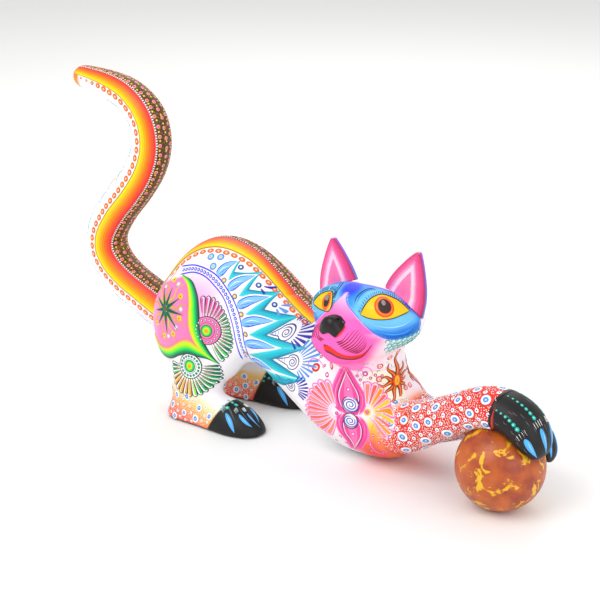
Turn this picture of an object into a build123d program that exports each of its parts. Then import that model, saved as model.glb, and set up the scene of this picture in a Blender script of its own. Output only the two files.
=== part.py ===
"""Painted wooden cat with a ball, carved in copal and assembled from separate pieces.

The cat crouches with its chest near the table, both forelegs stretched out over a
wooden ball, its head turned to its right and its tail raised in an S. The ears and
the tail plug into drilled sockets and lift out. Everything else is glued on dowels.

Units are millimetres. +X runs from the tail to the ball, +Z is up and the origin is
on the table, under the centre of the bounding box. The carving is laid out in its own
plan, whose zero lies between the hind feet, and BASE_CENTRE moves it to the origin.
"""
from build123d import *
import os
from math import cos, radians, sin

# Plan and fits
BASE_CENTRE = (46.0, -4.5)      # centre of the whole outline, in the carving's plan
RUNNING_GAP = 0.3              # air between a plug-in piece and what it seats on
GLUE_FIT = 0.05                # radial room round a glued dowel
PLUG_FIT = 0.08                # radial room round a peg that pulls out

# Torso: sections square to X, as (x, centre height, half width, half height)
TORSO_SECTIONS = [
    (-72.0, 58.0, 9.0, 13.0),
    (-69.0, 59.0, 18.0, 22.0),
    (-60.0, 64.0, 27.0, 33.0),
    (-46.0, 71.0, 33.5, 42.0),
    (-26.0, 78.0, 35.0, 46.0),
    (-2.0, 80.5, 34.0, 42.5),
    (22.0, 76.0, 32.5, 34.0),
    (44.0, 62.0, 32.0, 31.5),
    (68.0, 47.5, 33.0, 33.0),
    (92.0, 37.5, 34.0, 35.0),
    (112.0, 33.5, 33.0, 33.0),
    (128.0, 30.5, 29.0, 28.5),
    (140.0, 29.0, 21.0, 20.0),
    (145.0, 28.5, 12.0, 12.0),
]
HAUNCH_CENTRE = (-25.0, 21.0, 64.0)
HAUNCH_RADII = (41.0, 22.0, 42.0)

# Neck and head. The head looks along -Y, square to the body, and tips to its right.
HEAD_CENTRE = (111.0, -11.0, 101.0)
HEAD_TILT_DEG = 2.0
SKULL_RADII = (38.5, 31.0, 21.5)
CHEEK_CENTRE, CHEEK_RADII = (-1.0, -8.0, -9.0), (29.0, 25.0, 17.0)
MUZZLE_CENTRE, MUZZLE_RADII = (-2.5, -22.0, -9.0), (23.0, 19.5, 16.5)
NOSE_CENTRE, NOSE_RADII = (-2.0, -38.5, 3.0), (7.5, 5.0, 6.5)
NECK_STATIONS = [              # (x, y, z, half width in X, half width in Y)
    (105.0, -2.0, 36.0, 31.0, 30.0),
    (107.0, -4.5, 56.0, 26.5, 27.0),
    (107.5, -7.5, 76.0, 24.5, 24.5),
    (108.0, -10.0, 96.0, 26.0, 25.0),
]
NECK_JOINT_Z = 70.0

# Ears: a leaf-shaped cone on a round peg
EARS = {                       # side of the head, base from its centre, lean outwards
    "right": (-1, (-25.5, 5.0, 4.0), 8.0),
    "left": (1, (22.0, 5.0, 7.0), 19.0),
}
EAR_HEIGHT = 42.0
EAR_HALF_WIDTH, EAR_HALF_DEPTH = 16.5, 8.0
EAR_PEG_RADIUS, EAR_PEG_DEPTH = 3.5, 14.0
EAR_PEG_ROOT = 8.0             # how far up the ear's blade the peg starts

# Tail: (x, z, radius) along its middle line, in the plane Y = 0
TAIL_AXIS_START = (-68.0, 54.5)
TAIL_AXIS_DEG = 157.0          # direction of the root, from +X towards +Z
TAIL_POINTS = [
    (-94.5, 65.5, 15.0),
    (-112.5, 73.5, 14.8),
    (-126.5, 83.5, 14.8),
    (-134.0, 96.0, 14.8),
    (-132.5, 111.0, 14.8),
    (-121.0, 129.0, 14.8),
    (-105.0, 147.0, 14.6),
    (-92.0, 165.0, 14.4),
    (-86.5, 183.0, 14.0),
    (-90.5, 200.0, 13.4),
    (-104.0, 211.5, 12.2),
    (-121.5, 217.0, 10.8),
    (-139.0, 219.5, 9.2),
    (-151.5, 220.8, 7.8),
    (-156.5, 221.2, 5.5),
    (-158.0, 221.3, 2.5),
]
TAIL_ROOT_RADIUS = 15.5
TAIL_DOWEL_RADIUS, TAIL_DOWEL_HALF = 6.0, 16.0
TAIL_BOSS = [(0.0, 16.0), (-10.0, 19.0), (-24.0, 23.0)]   # (along the tail's axis, radius)

# Ball
BALL_RADIUS = 28.4
BALL_CENTRE = (217.0, -17.5, 28.0)

# Forelegs: (x, y, z, radius across, radius up) from inside the chest to the claws
RIGHT_FORELEG = [
    (108.0, -8.0, 30.0, 11.0, 12.0),
    (124.0, -12.5, 27.5, 16.0, 16.5),
    (142.0, -14.5, 31.5, 16.5, 17.0),
    (162.0, -16.0, 41.5, 15.0, 15.0),
    (182.0, -17.0, 52.0, 14.5, 13.8),
    (199.0, -17.5, 61.5, 14.3, 13.5),
    (213.0, -18.0, 65.5, 15.0, 13.5),
    (227.0, -18.0, 63.5, 16.0, 13.0),
    (237.0, -18.0, 56.0, 15.5, 12.0),
    (243.0, -18.0, 47.5, 12.5, 8.0),
    (245.0, -18.0, 42.0, 7.5, 3.5),
]
LEFT_FORELEG = [
    (108.0, 7.0, 28.0, 10.0, 11.0),
    (124.0, 11.0, 26.0, 14.5, 15.5),
    (142.0, 13.0, 27.5, 15.0, 15.5),
    (160.0, 13.5, 32.0, 14.0, 14.0),
    (178.0, 13.5, 38.5, 13.5, 12.5),
    (194.0, 12.5, 44.0, 13.0, 12.0),
    (207.0, 11.0, 46.5, 13.0, 11.5),
    (219.0, 8.5, 45.5, 13.0, 11.5),
    (229.0, 5.0, 40.0, 12.5, 10.5),
    (235.0, 2.0, 33.5, 10.5, 8.0),
    (237.0, 0.5, 28.0, 6.0, 3.5),
]

# Hind legs: heel and toe on the table, then the shank above the heel
RIGHT_FOOT = {"heel": (-42.0, -31.0), "toe": (36.0, -29.0)}
LEFT_FOOT = {"heel": (-38.0, 21.0), "toe": (34.0, 34.0)}
FOOT_SECTIONS = [              # (share of the length, half width, height)
    (0.00, 8.0, 9.0),
    (0.05, 13.0, 16.0),
    (0.18, 15.5, 24.0),
    (0.40, 15.0, 23.0),
    (0.56, 15.8, 21.5),
    (0.72, 16.0, 19.0),
    (0.88, 13.0, 13.0),
    (0.97, 8.0, 7.0),
    (1.00, 4.0, 3.5),
]
SHANK_STATIONS = [             # (ahead of the heel, inward, height, half length, half width)
    (19.0, 0.0, 5.0, 17.0, 13.5),
    (19.5, 0.5, 20.0, 19.0, 14.5),
    (20.5, 2.0, 36.0, 22.0, 15.5),
    (21.0, 4.0, 52.0, 24.0, 15.0),
]

# Glued dowels: (radius, middle, direction, half length)
NECK_DOWEL = (6.0, (107.5, -7.0, NECK_JOINT_Z), (0.0, 0.0, 1.0), 15.0)
RIGHT_SHOULDER_DOWEL = (4.0, (141.5, -14.5, 32.5), (0.88, -0.06, 0.46), 12.0)
LEFT_SHOULDER_DOWEL = (4.0, (142.0, 13.0, 29.0), (0.94, 0.03, 0.33), 12.0)
RIGHT_HOCK_DOWEL = (4.0, (-18.5, -26.5, 26.0), (0.05, 0.10, 0.99), 13.0)
LEFT_HOCK_DOWEL = (4.0, (-16.5, 26.5, 26.0), (0.05, -0.10, 0.99), 13.0)
BALL_DOWEL = (3.0, (217.5, -17.6, 54.5), (0.02, -0.02, 1.0), 8.0)


def ellipsoid(centre, radii, grow=0.0):
    """A solid ellipsoid, with each radius larger by grow."""
    sizes = tuple(r + grow for r in radii)
    return Pos(*centre) * scale(Sphere(1.0), by=sizes)


def section(origin, normal, half_x, half_y, across):
    """An elliptical face square to normal, with half_x along across."""
    return Plane(origin=origin, x_dir=across, z_dir=normal) * Ellipse(half_x, half_y)


def directions(points):
    """The direction of a line at each of its points, from its neighbours."""
    ahead = points[1:] + points[-1:]
    behind = points[:1] + points[:-1]
    return [(Vector(*a) - Vector(*b)).normalized() for a, b in zip(ahead, behind)]


def limb(stations):
    """A limb lofted through ellipses that stand square to its middle line."""
    middle = [s[:3] for s in stations]
    faces = []
    for (x, y, z, half_across, half_up), along in zip(stations, directions(middle)):
        across = Vector(0, 0, 1).cross(along)
        faces.append(section((x, y, z), along, half_across, half_up, across))
    return loft(faces)


def dowel(radius, middle, direction, half_length):
    """A round dowel about its middle point."""
    plane = Plane(origin=middle, z_dir=direction)
    return plane * Cylinder(radius, 2 * half_length)


def dowel_hole(spec, room=GLUE_FIT):
    """The hole for a dowel, with room round it and 0.5 mm past each end."""
    radius, middle, direction, half_length = spec
    return dowel(radius + room, middle, direction, half_length + 0.5)


def mirror_y(point):
    return (point[0], -point[1], point[2])


def tail_axis():
    """The tail root's seat point and its outward direction."""
    angle = radians(TAIL_AXIS_DEG)
    return (TAIL_AXIS_START[0], 0.0, TAIL_AXIS_START[1]), (cos(angle), 0.0, sin(angle))


def torso_blank():
    """The torso before its sockets: the trunk, two haunches and the neck's lower part."""
    faces = [
        section((x, 0, z), (1, 0, 0), half_width, half_height, (0, 1, 0))
        for x, z, half_width, half_height in TORSO_SECTIONS
    ]
    trunk = loft(faces)
    haunch = ellipsoid(HAUNCH_CENTRE, HAUNCH_RADII)
    other_haunch = ellipsoid(mirror_y(HAUNCH_CENTRE), HAUNCH_RADII)
    neck = neck_blank() & below(NECK_JOINT_Z)
    return trunk + haunch + other_haunch + neck + tail_boss()


def below(height):
    """A block that fills everything under a height."""
    return Pos(0, 0, height) * Box(900, 400, 400, align=(Align.CENTER, Align.CENTER, Align.MAX))


def above(height):
    """A block that fills everything over a height."""
    return Pos(0, 0, height) * Box(900, 400, 400, align=(Align.CENTER, Align.CENTER, Align.MIN))


def neck_blank():
    """The whole neck, upright, from inside the chest to inside the head."""
    return loft([Plane((x, y, z)) * Ellipse(wide, deep) for x, y, z, wide, deep in NECK_STATIONS])


def tail_boss():
    """The swelling of the rump that meets the tail's round root."""
    point, outward = tail_axis()
    plane = Plane(origin=point, z_dir=outward)
    return plane * loft([Plane((0, 0, along)) * Circle(r) for along, r in reversed(TAIL_BOSS)])


def tail_seat():
    """What the rump loses so that the tail's flat root can sit in it."""
    point, outward = tail_axis()
    plane = Plane(origin=point, z_dir=outward)
    return plane * Cylinder(
        TAIL_ROOT_RADIUS + RUNNING_GAP, 40, align=(Align.CENTER, Align.CENTER, Align.MIN)
    )


def tail_dowel_spec():
    point, outward = tail_axis()
    return (TAIL_DOWEL_RADIUS, point, outward, TAIL_DOWEL_HALF)


def make_torso(blank):
    """The torso with the tail's seat and every dowel socket."""
    torso = blank - tail_seat() - dowel_hole(tail_dowel_spec(), PLUG_FIT)
    glued = (NECK_DOWEL, RIGHT_SHOULDER_DOWEL, LEFT_SHOULDER_DOWEL, RIGHT_HOCK_DOWEL, LEFT_HOCK_DOWEL)
    for spec in glued:
        torso -= dowel_hole(spec)
    return torso


def on_head():
    """The head's own axes: X to its left, -Y ahead and Z up, tipped to its right."""
    return Pos(*HEAD_CENTRE) * Rot(0, -HEAD_TILT_DEG, 0)


def skull(grow=0.0):
    """The rounded skull that the ears are scribed to."""
    return on_head() * ellipsoid((0, 0, 0), SKULL_RADII, grow)


def ear_axes(ear):
    """Where an ear stands on the head: its base point, leaning outwards."""
    side, base, lean = EARS[ear]
    return on_head() * Pos(*base) * Rot(0, side * lean, 0)


def ear_peg(ear, room=0.0):
    """The ear's round peg, or its socket when there is room round it."""
    low = EAR_PEG_ROOT - EAR_PEG_DEPTH - room
    peg = Pos(0, 0, low) * Cylinder(
        EAR_PEG_RADIUS + room, EAR_PEG_DEPTH + room, align=(Align.CENTER, Align.CENTER, Align.MIN)
    )
    return ear_axes(ear) * peg


def make_ear(ear):
    """An ear: a pointed blade scribed to the head's curve, and its peg."""
    shares = [(0.0, 1.0), (0.30, 0.92), (0.55, 0.72), (0.78, 0.44), (0.93, 0.22), (1.0, 0.09)]
    faces = [
        Pos(0, 0, EAR_HEIGHT * up) * Ellipse(
            EAR_HALF_WIDTH * wide, EAR_HALF_DEPTH * (0.25 + 0.75 * wide)
        )
        for up, wide in shares
    ]
    blade = ear_axes(ear) * loft(faces) - skull(RUNNING_GAP)
    return blade + ear_peg(ear)


def make_head(torso):
    """The head with its muzzle, nose and the neck's upper part."""
    head = skull() + on_head() * ellipsoid(CHEEK_CENTRE, CHEEK_RADII)
    head += on_head() * ellipsoid(MUZZLE_CENTRE, MUZZLE_RADII)
    head += on_head() * ellipsoid(NOSE_CENTRE, NOSE_RADII)
    head += neck_blank()
    head &= above(NECK_JOINT_Z)
    head -= torso
    for ear in EARS:
        head -= ear_peg(ear, PLUG_FIT)
    return head - dowel_hole(NECK_DOWEL)


def make_tail():
    """The S-shaped tail, with a flat root and a bore for its dowel."""
    point, outward = tail_axis()
    start = Vector(*point) + Vector(*outward) * RUNNING_GAP
    along_root = [0.0, 9.0]
    middle = [tuple(start + Vector(*outward) * s) for s in along_root]
    radii = [TAIL_ROOT_RADIUS] * len(along_root)
    for x, z, radius in TAIL_POINTS:
        middle.append((x, 0.0, z))
        radii.append(radius)
    tangents = directions(middle)
    tangents[0] = Vector(*outward)
    tangents[1] = Vector(*outward)
    faces = [
        section(p, t, r, r, (0, 1, 0)) for p, t, r in zip(middle, tangents, radii)
    ]
    return loft(faces) - dowel_hole(tail_dowel_spec(), PLUG_FIT)


def make_ball():
    """The ball, with the small flat it rests on."""
    ball = Pos(*BALL_CENTRE) * Sphere(BALL_RADIUS)
    ball &= above(0.0)
    return ball - dowel_hole(BALL_DOWEL)


def make_foreleg(stations, torso, shoulder, others):
    """A foreleg, scribed to the chest and hollowed in the palm to hold the ball."""
    leg = limb(stations) - torso - Pos(*BALL_CENTRE) * Sphere(BALL_RADIUS)
    leg -= dowel_hole(shoulder)
    for other in others:
        leg -= other
    return largest(leg)


def foot_line(foot):
    """A foot's heel, its heading and its length."""
    heel = Vector(*foot["heel"], 0)
    reach = Vector(*foot["toe"], 0) - heel
    return heel, reach.normalized(), reach.length


def make_hind_leg(foot, inward, torso, hock):
    """A hind foot with a flat sole, and the shank that rises into the haunch."""
    heel, heading, length = foot_line(foot)
    across = Vector(0, 0, 1).cross(heading)
    faces = []
    for share, half_width, height in FOOT_SECTIONS:
        middle = heel + heading * (length * share)
        faces.append(section(tuple(middle), heading, half_width, height, across))
    sole = loft(faces) & above(0.0)
    rings = []
    for ahead, inset, height, half_length, half_width in SHANK_STATIONS:
        middle = heel + heading * ahead + across * (inset * inward) + Vector(0, 0, height)
        rings.append(section(tuple(middle), (0, 0, 1), half_length, half_width, heading))
    leg = sole + (loft(rings) & above(0.0))
    return largest(leg - torso - dowel_hole(hock))


def largest(shape):
    """The biggest solid of a shape, which drops any sliver that a cut leaves."""
    return max(shape.solids(), key=lambda solid: solid.volume)


def build():
    """Every piece by name, in the carving's plan."""
    blank = torso_blank()
    torso = make_torso(blank)
    ball = make_ball()
    right_foreleg = make_foreleg(RIGHT_FORELEG, blank, RIGHT_SHOULDER_DOWEL, [dowel_hole(BALL_DOWEL)])
    left_foreleg = make_foreleg(LEFT_FORELEG, blank, LEFT_SHOULDER_DOWEL, [right_foreleg])
    pieces = {
        "torso": largest(torso),
        "head": largest(make_head(blank)),
        "right_ear": largest(make_ear("right")),
        "left_ear": largest(make_ear("left")),
        "tail": largest(make_tail()),
        "right_foreleg": right_foreleg,
        "left_foreleg": left_foreleg,
        "right_hind_leg": make_hind_leg(RIGHT_FOOT, 1, blank, RIGHT_HOCK_DOWEL),
        "left_hind_leg": make_hind_leg(LEFT_FOOT, -1, blank, LEFT_HOCK_DOWEL),
        "ball": largest(ball),
        "tail_dowel": dowel(*tail_dowel_spec()),
        "neck_dowel": dowel(*NECK_DOWEL),
        "right_shoulder_dowel": dowel(*RIGHT_SHOULDER_DOWEL),
        "left_shoulder_dowel": dowel(*LEFT_SHOULDER_DOWEL),
        "right_hock_dowel": dowel(*RIGHT_HOCK_DOWEL),
        "left_hock_dowel": dowel(*LEFT_HOCK_DOWEL),
        "ball_dowel": dowel(*BALL_DOWEL),
    }
    return pieces


os.makedirs("parts", exist_ok=True)
pieces = build()
to_origin = Pos(-BASE_CENTRE[0], -BASE_CENTRE[1], 0)
for name, piece in pieces.items():
    export_step(to_origin * piece, f"parts/{name}.step")
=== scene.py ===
from math import cos, pi, radians, sin, tau

import bmesh
import bpy
import numpy as np
from mathutils import Matrix, Vector
from mathutils.bvhtree import BVHTree


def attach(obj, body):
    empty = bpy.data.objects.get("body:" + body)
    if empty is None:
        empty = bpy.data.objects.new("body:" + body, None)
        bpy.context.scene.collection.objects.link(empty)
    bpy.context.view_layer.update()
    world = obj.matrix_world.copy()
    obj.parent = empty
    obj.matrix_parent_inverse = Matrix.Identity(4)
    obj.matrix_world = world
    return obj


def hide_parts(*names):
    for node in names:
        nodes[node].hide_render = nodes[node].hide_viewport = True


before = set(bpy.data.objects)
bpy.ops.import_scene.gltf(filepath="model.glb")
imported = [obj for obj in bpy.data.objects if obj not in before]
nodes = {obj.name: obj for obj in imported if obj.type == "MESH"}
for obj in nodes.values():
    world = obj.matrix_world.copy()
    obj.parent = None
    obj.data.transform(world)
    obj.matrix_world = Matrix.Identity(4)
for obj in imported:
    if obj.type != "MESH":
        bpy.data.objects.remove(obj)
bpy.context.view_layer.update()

# ---------------------------------------------------------------- table, light and camera
# A pale matt table top under soft window-like light, seen from above the cat's right
# shoulder. None of it belongs to the carving.

MM = 0.001


def linear(hex_colour):
    """An sRGB hex colour as linear RGBA."""
    parts = [int(hex_colour[i:i + 2], 16) / 255 for i in (1, 3, 5)]
    return (*[c / 12.92 if c <= 0.04045 else ((c + 0.055) / 1.055) ** 2.4 for c in parts], 1.0)


def add_node(tree, kind, links=None, **settings):
    """A node of a kind, with its properties or input values set and its inputs linked."""
    node = tree.nodes.new(kind)
    for key, value in settings.items():
        if hasattr(node, key):
            setattr(node, key, value)
    for key, value in (links or {}).items():
        socket = node.inputs[key]
        if isinstance(value, bpy.types.NodeSocket):
            tree.links.new(value, socket)
        else:
            socket.default_value = value
    return node


def new_material(name):
    """An empty material with its output node."""
    material = bpy.data.materials.new(name)
    material.use_nodes = True
    material.node_tree.nodes.clear()
    return material, material.node_tree, material.node_tree.nodes.new("ShaderNodeOutputMaterial")


def mesh_object(name, verts_mm, faces, smooth=True):
    """A mesh object from points in millimetres."""
    mesh = bpy.data.meshes.new(name)
    mesh.from_pydata((np.asarray(verts_mm) * MM).tolist(), [], faces)
    mesh.polygons.foreach_set("use_smooth", [smooth] * len(mesh.polygons))
    mesh.update()
    obj = bpy.data.objects.new(name, mesh)
    bpy.context.scene.collection.objects.link(obj)
    return obj


# White melamine: matt, with a trace of mottling so that it doesn't read as a void.
table_white, tree, out = new_material("white_melamine")
mottle = add_node(tree, "ShaderNodeTexNoise", {"Scale": 9.0, "Detail": 3.0})
shade = add_node(tree, "ShaderNodeMix", {"Factor": mottle.outputs["Fac"]}, data_type="RGBA")
shade.inputs["A"].default_value = linear("#F4F4F3")
shade.inputs["B"].default_value = linear("#FAFAF9")
table_shader = add_node(tree, "ShaderNodeBsdfPrincipled",
                        {"Base Color": shade.outputs["Result"], "Roughness": 0.7})
tree.links.new(table_shader.outputs[0], out.inputs[0])

floor = mesh_object("table", [(-6000, -6000, 0), (6000, -6000, 0), (6000, 6000, 0),
    (-6000, 6000, 0)], [(0, 1, 2, 3)])
floor.data.materials.append(table_white)

world = bpy.data.worlds.new("soft_room")
bpy.context.scene.world = world
world.use_nodes = True
world.node_tree.nodes["Background"].inputs["Color"].default_value = linear("#FFFFFF")
world.node_tree.nodes["Background"].inputs["Strength"].default_value = 0.76
bpy.context.scene.view_settings.view_transform = "Standard"


def soft_light(name, place_mm, aim_mm, size_m, watts):
    """A square softbox aimed at a point."""
    lamp = bpy.data.lights.new(name, "AREA")
    lamp.size = size_m
    lamp.energy = watts
    obj = bpy.data.objects.new(name, lamp)
    bpy.context.scene.collection.objects.link(obj)
    obj.location = Vector(place_mm) * MM
    direction = (Vector(aim_mm) - Vector(place_mm)).normalized()
    obj.rotation_euler = direction.to_track_quat("-Z", "Y").to_euler()


soft_light("key_softbox", (-150, -900, 1100), (0, 0, 60), 0.9, 8.5)
soft_light("fill_softbox", (1100, -300, 600), (0, 0, 60), 1.0, 4)
soft_light("back_softbox", (-500, 900, 1000), (0, 0, 60), 1.0, 5)

camera = bpy.data.objects.new("camera", bpy.data.cameras.new("camera"))
bpy.context.scene.collection.objects.link(camera)
camera.data.lens = 96
camera.data.sensor_width = 36
camera.data.clip_start = 0.05
camera.location = Vector((624.7, -795.3, 463.1)) * MM
look = Vector((-23.2, 34.0, 80.0)) * MM - camera.location
camera.rotation_euler = look.to_track_quat("-Z", "Y").to_euler()
bpy.context.scene.camera = camera

# ---------------------------------------------------------------- carved figure
# The trunk, head and legs are separate pieces of copal branch, glued on dowels, filled at
# the joints and sanded until they run into each other. So they are shaped here as one
# skin, which is then parted again at the glue lines.

GLUED = ["torso", "head", "right_foreleg", "left_foreleg", "right_hind_leg", "left_hind_leg"]
HIDDEN_DOWELS = ["neck_dowel", "right_shoulder_dowel", "left_shoulder_dowel",
                 "right_hock_dowel", "left_hock_dowel", "ball_dowel"]
GRAIN_MM = 1.05                # mesh size of the carved skin
HEAD_CENTRE = np.array([65.0, -6.5, 101.0])
HEAD_TILT = radians(2.0)
SPINE_Y = 4.5                  # the middle plane of the trunk and the tail


def merged(names, grow_mm):
    """Points and triangles of CAD nodes, merged and grown along their normals."""
    bm = bmesh.new()
    for name in names:
        bm.from_mesh(nodes[name].data)
    bmesh.ops.remove_doubles(bm, verts=bm.verts, dist=1e-6)
    bm.normal_update()
    verts = np.array([(v.co + v.normal * grow_mm * MM)[:] for v in bm.verts]) / MM
    faces = [[v.index for v in f.verts] for f in bm.faces]
    bm.free()
    return verts, faces


def remeshed(name, verts, faces, voxel_mm):
    """An even quad skin over closed, overlapping shells."""
    rough = mesh_object(name, verts, faces)
    remesh = rough.modifiers.new("skin", "REMESH")
    remesh.mode = "VOXEL"
    remesh.voxel_size = voxel_mm * MM
    graph = bpy.context.evaluated_depsgraph_get()
    mesh = bpy.data.meshes.new_from_object(rough.evaluated_get(graph))
    bpy.data.objects.remove(rough)
    points = np.zeros(len(mesh.vertices) * 3)
    mesh.vertices.foreach_get("co", points)
    quads = [tuple(p.vertices) for p in mesh.polygons]
    bpy.data.meshes.remove(mesh)
    return points.reshape(-1, 3) / MM, quads


class Skin:
    """Points and quads with their edges, normals and a way to find the surface."""

    def __init__(self, points, quads):
        self.points = points
        self.quads = quads
        loops = np.array(quads)
        self.loops = loops
        pairs = np.vstack([loops[:, [i, (i + 1) % 4]] for i in range(4)])
        pairs.sort(axis=1)
        self.edges = np.unique(pairs, axis=0)
        self.degree = np.bincount(self.edges.ravel(), minlength=len(points)).astype(float)

    def pull(self):
        """How far each point is from the middle of its neighbours."""
        a, b = self.edges.T
        total = np.zeros_like(self.points)
        for k in range(3):
            total[:, k] = np.bincount(a, self.points[b, k], len(self.points))
            total[:, k] += np.bincount(b, self.points[a, k], len(self.points))
        return total / self.degree[:, None] - self.points

    def normals(self):
        p = self.points[self.loops]
        face = np.cross(p[:, 2] - p[:, 0], p[:, 3] - p[:, 1])
        total = np.zeros_like(self.points)
        for i in range(4):
            for k in range(3):
                total[:, k] += np.bincount(self.loops[:, i], face[:, k], len(self.points))
        return total / (np.linalg.norm(total, axis=1)[:, None] + 1e-12)

    def sand(self, rounds, fill=0.8, wear=0.25, where=1.0):
        """Fills hollows faster than it wears ridges, as filler and sandpaper do."""
        weight = np.broadcast_to(where, len(self.points))[:, None]
        for _ in range(rounds):
            pull = self.pull()
            outward = (pull * self.normals()).sum(1)[:, None]
            self.points += pull * np.where(outward > 0, fill, wear) * weight

    def surface(self):
        return BVHTree.FromPolygons(self.points.tolist(), self.quads)


def near(points, centre, radius):
    """1 at a centre, falling smoothly to 0 at a radius."""
    gap = np.linalg.norm(points - np.asarray(centre), axis=1) / radius
    return np.clip(1 - gap, 0, 1) ** 2 * (3 - 2 * np.clip(1 - gap, 0, 1))


def to_head(points):
    """Row millimetres to the head's own axes: X to its left, -Y ahead, Z up."""
    p = np.atleast_2d(points) - HEAD_CENTRE
    c, s = cos(HEAD_TILT), sin(HEAD_TILT)
    return np.column_stack([c * p[:, 0] + s * p[:, 2], p[:, 1], -s * p[:, 0] + c * p[:, 2]])


def from_head(points):
    """The head's own axes to row millimetres."""
    p = np.atleast_2d(points)
    c, s = cos(HEAD_TILT), sin(HEAD_TILT)
    return HEAD_CENTRE + np.column_stack([c * p[:, 0] - s * p[:, 2], p[:, 1],
        s * p[:, 0] + c * p[:, 2]])


figure = Skin(*remeshed("blank", *merged(GLUED + HIDDEN_DOWELS, 0.3), GRAIN_MM))
TAIL_SEAT = np.array([-114.0, SPINE_Y, 54.5])
TAIL_AXIS = np.array([cos(radians(157)), 0.0, sin(radians(157))])
from_seat = figure.points - TAIL_SEAT
socket = np.linalg.norm(np.cross(from_seat, TAIL_AXIS), axis=1) < 17.5
socket &= from_seat @ TAIL_AXIS > -25
figure.sand(45, where=np.where(socket, 0.0, 1.0))
figure.points -= figure.normals() * 0.3


def swell(points, centre, radius, push):
    """Moves points about a centre by a push, fading out at a radius."""
    return points + near(points, centre, radius)[:, None] * np.asarray(push, float)


# The face is worked up on the even skin: a full brow above the eyes, a bridge down to the
# nose, whisker pads, a small chin and domed eyes.
in_head = near(figure.points, HEAD_CENTRE + [0, -8, 0], 75) > 0
local = to_head(figure.points[in_head])
ray = local / (np.linalg.norm(local, axis=1)[:, None] + 1e-9)
brow = (2 * np.clip(-ray[:, 1], 0, 1) * np.clip(ray[:, 2], 0, 1)) ** 0.8
brow *= np.clip((local[:, 2] + 2) / 8, 0, 1) * np.clip((32 + local[:, 1]) / 10, 0, 1)
local *= (1 + 0.27 * brow)[:, None]
crown = 0.27 * local[:, 1] + 0.94 * local[:, 2] - 20.0 + 0.004 * local[:, 0] ** 2
local -= np.outer(np.clip(crown, 0, None) * 0.9, (0, 0.27, 0.94))
local = swell(local, (-1, -31, 9), 15, (0, -2.0, 3.0))
local = swell(local, (-2, -36, -22), 12, (0, -2.5, -0.5))
for left in (-1, 1):
    local = swell(local, (left * 9 - 1, -38, -7), 13, (left * 2.0, -2.5, 0))
    local = swell(local, (left * 23, -22, 12), 12, (left * 1.3, -2.2, 1.2))
    local = swell(local, (left * 20, -19, 23), 13, (left * 0.5, -2.0, 1.5))
    local = swell(local, (left * 10, -27, 14), 8, (0, 1.5, -1.0))
figure.points[in_head] = from_head(local)
figure.sand(4)

# The sole is cut flat, so that the cat stands without rocking.
figure.points[:, 2] = np.maximum(figure.points[:, 2], 0.0)
figure_surface = figure.surface()

# ---------------------------------------------------------------- ground colours
# The carving is primed white and the broad colours are laid in first: a blue mask and a
# pink muzzle, red forelegs, black toes, a warm chest and soft pink airbrushing behind.


def blend(base, colour, amount):
    """Base colours moved towards a hex colour, or an array of colours, by an amount."""
    over = np.array(linear(colour)[:3]) if isinstance(colour, str) else colour
    return base + (over - base) * np.clip(amount, 0, 1)[:, None]


def ramp(value, stops):
    """Colours along a gradient: stops are (value, hex)."""
    at = [s[0] for s in stops]
    rgb = np.array([linear(s[1])[:3] for s in stops])
    return np.column_stack([np.interp(value, at, rgb[:, k]) for k in range(3)])


def inside(uv, outline):
    """Signed millimetres inside a closed outline."""
    p = np.asarray(outline, float)
    q = np.roll(p, -1, axis=0)
    least = np.full(len(uv), 1e9)
    crossings = np.zeros(len(uv), bool)
    for a, b in zip(p, q):
        edge = b - a
        t = np.clip(((uv - a) @ edge) / (edge @ edge + 1e-12), 0, 1)
        least = np.minimum(least, np.linalg.norm(uv - a - t[:, None] * edge, axis=1))
        spans = (a[1] > uv[:, 1]) != (b[1] > uv[:, 1])
        at = a[0] + (uv[:, 1] - a[1]) * edge[0] / (edge[1] if abs(edge[1]) > 1e-9 else 1e-9)
        crossings ^= spans & (uv[:, 0] < at)
    return np.where(crossings, least, -least)


def edge(distance, width):
    """0 outside an edge to 1 inside it, over a width."""
    t = np.clip(distance / width + 0.5, 0, 1)
    return t * t * (3 - 2 * t)


FACE_POLE = np.array([0.0, 4.0, 2.0])     # the middle of the face's own grid, in the head
FACE_RADIUS = 30.0


def to_face(points):
    """Row millimetres to the face's grid: millimetres to the cat's left, and up."""
    d = to_head(points) - FACE_POLE
    return np.column_stack([np.arctan2(d[:, 0], -d[:, 1]),
                            np.arctan2(d[:, 2], np.hypot(d[:, 0], d[:, 1]))]) * FACE_RADIUS


MASK = [(-2, 34), (18, 34), (33, 29.5), (40, 24), (43, 15), (46, 9), (47, 4.5), (45, -3.5),
    (37, -6), (27, -5.8), (19, -2), (13, 3.4), (7, 9.3), (3.6, 13), (1.8, 16.5), (1.0, 19),
    (-2, 19)]
MUZZLE = [(-2, 19), (1.0, 19), (1.8, 16.5), (3.6, 13), (7, 9.3), (13, 3.4), (19, -2), (24, -4.6),
    (22.5, -8), (19, -14), (14.5, -25), (8, -30), (-2, -31)]
EYE_LEFT = [(12, 7.8), (14.5, 12.6), (18.5, 16.8), (26.5, 19.3), (35.5, 15.2), (40.2, 7.2),
    (34.2, 6.4), (28.2, 5.5), (21.4, 5.7), (16.3, 6.4)]
EYE_RIGHT = [(-7, 7.8), (-7.6, 12), (-9.5, 15), (-13, 16.6), (-17.3, 13.5), (-20, 7), (-17, 5.8),
    (-14, 5.4), (-11.2, 5.6), (-8.9, 6)]
NOSE = [(-6.6, 3.2), (-4.4, 5.4), (-1.2, 6.2), (1.7, 5.7), (4.2, 3.4), (4.6, 0.6), (2.2, -2.6),
    (-0.4, -0.9), (-3.9, -2.2), (-6.2, 0.6)]
PAW_X = {"right_foreleg": 173.0, "left_foreleg": 166.0}


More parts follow.
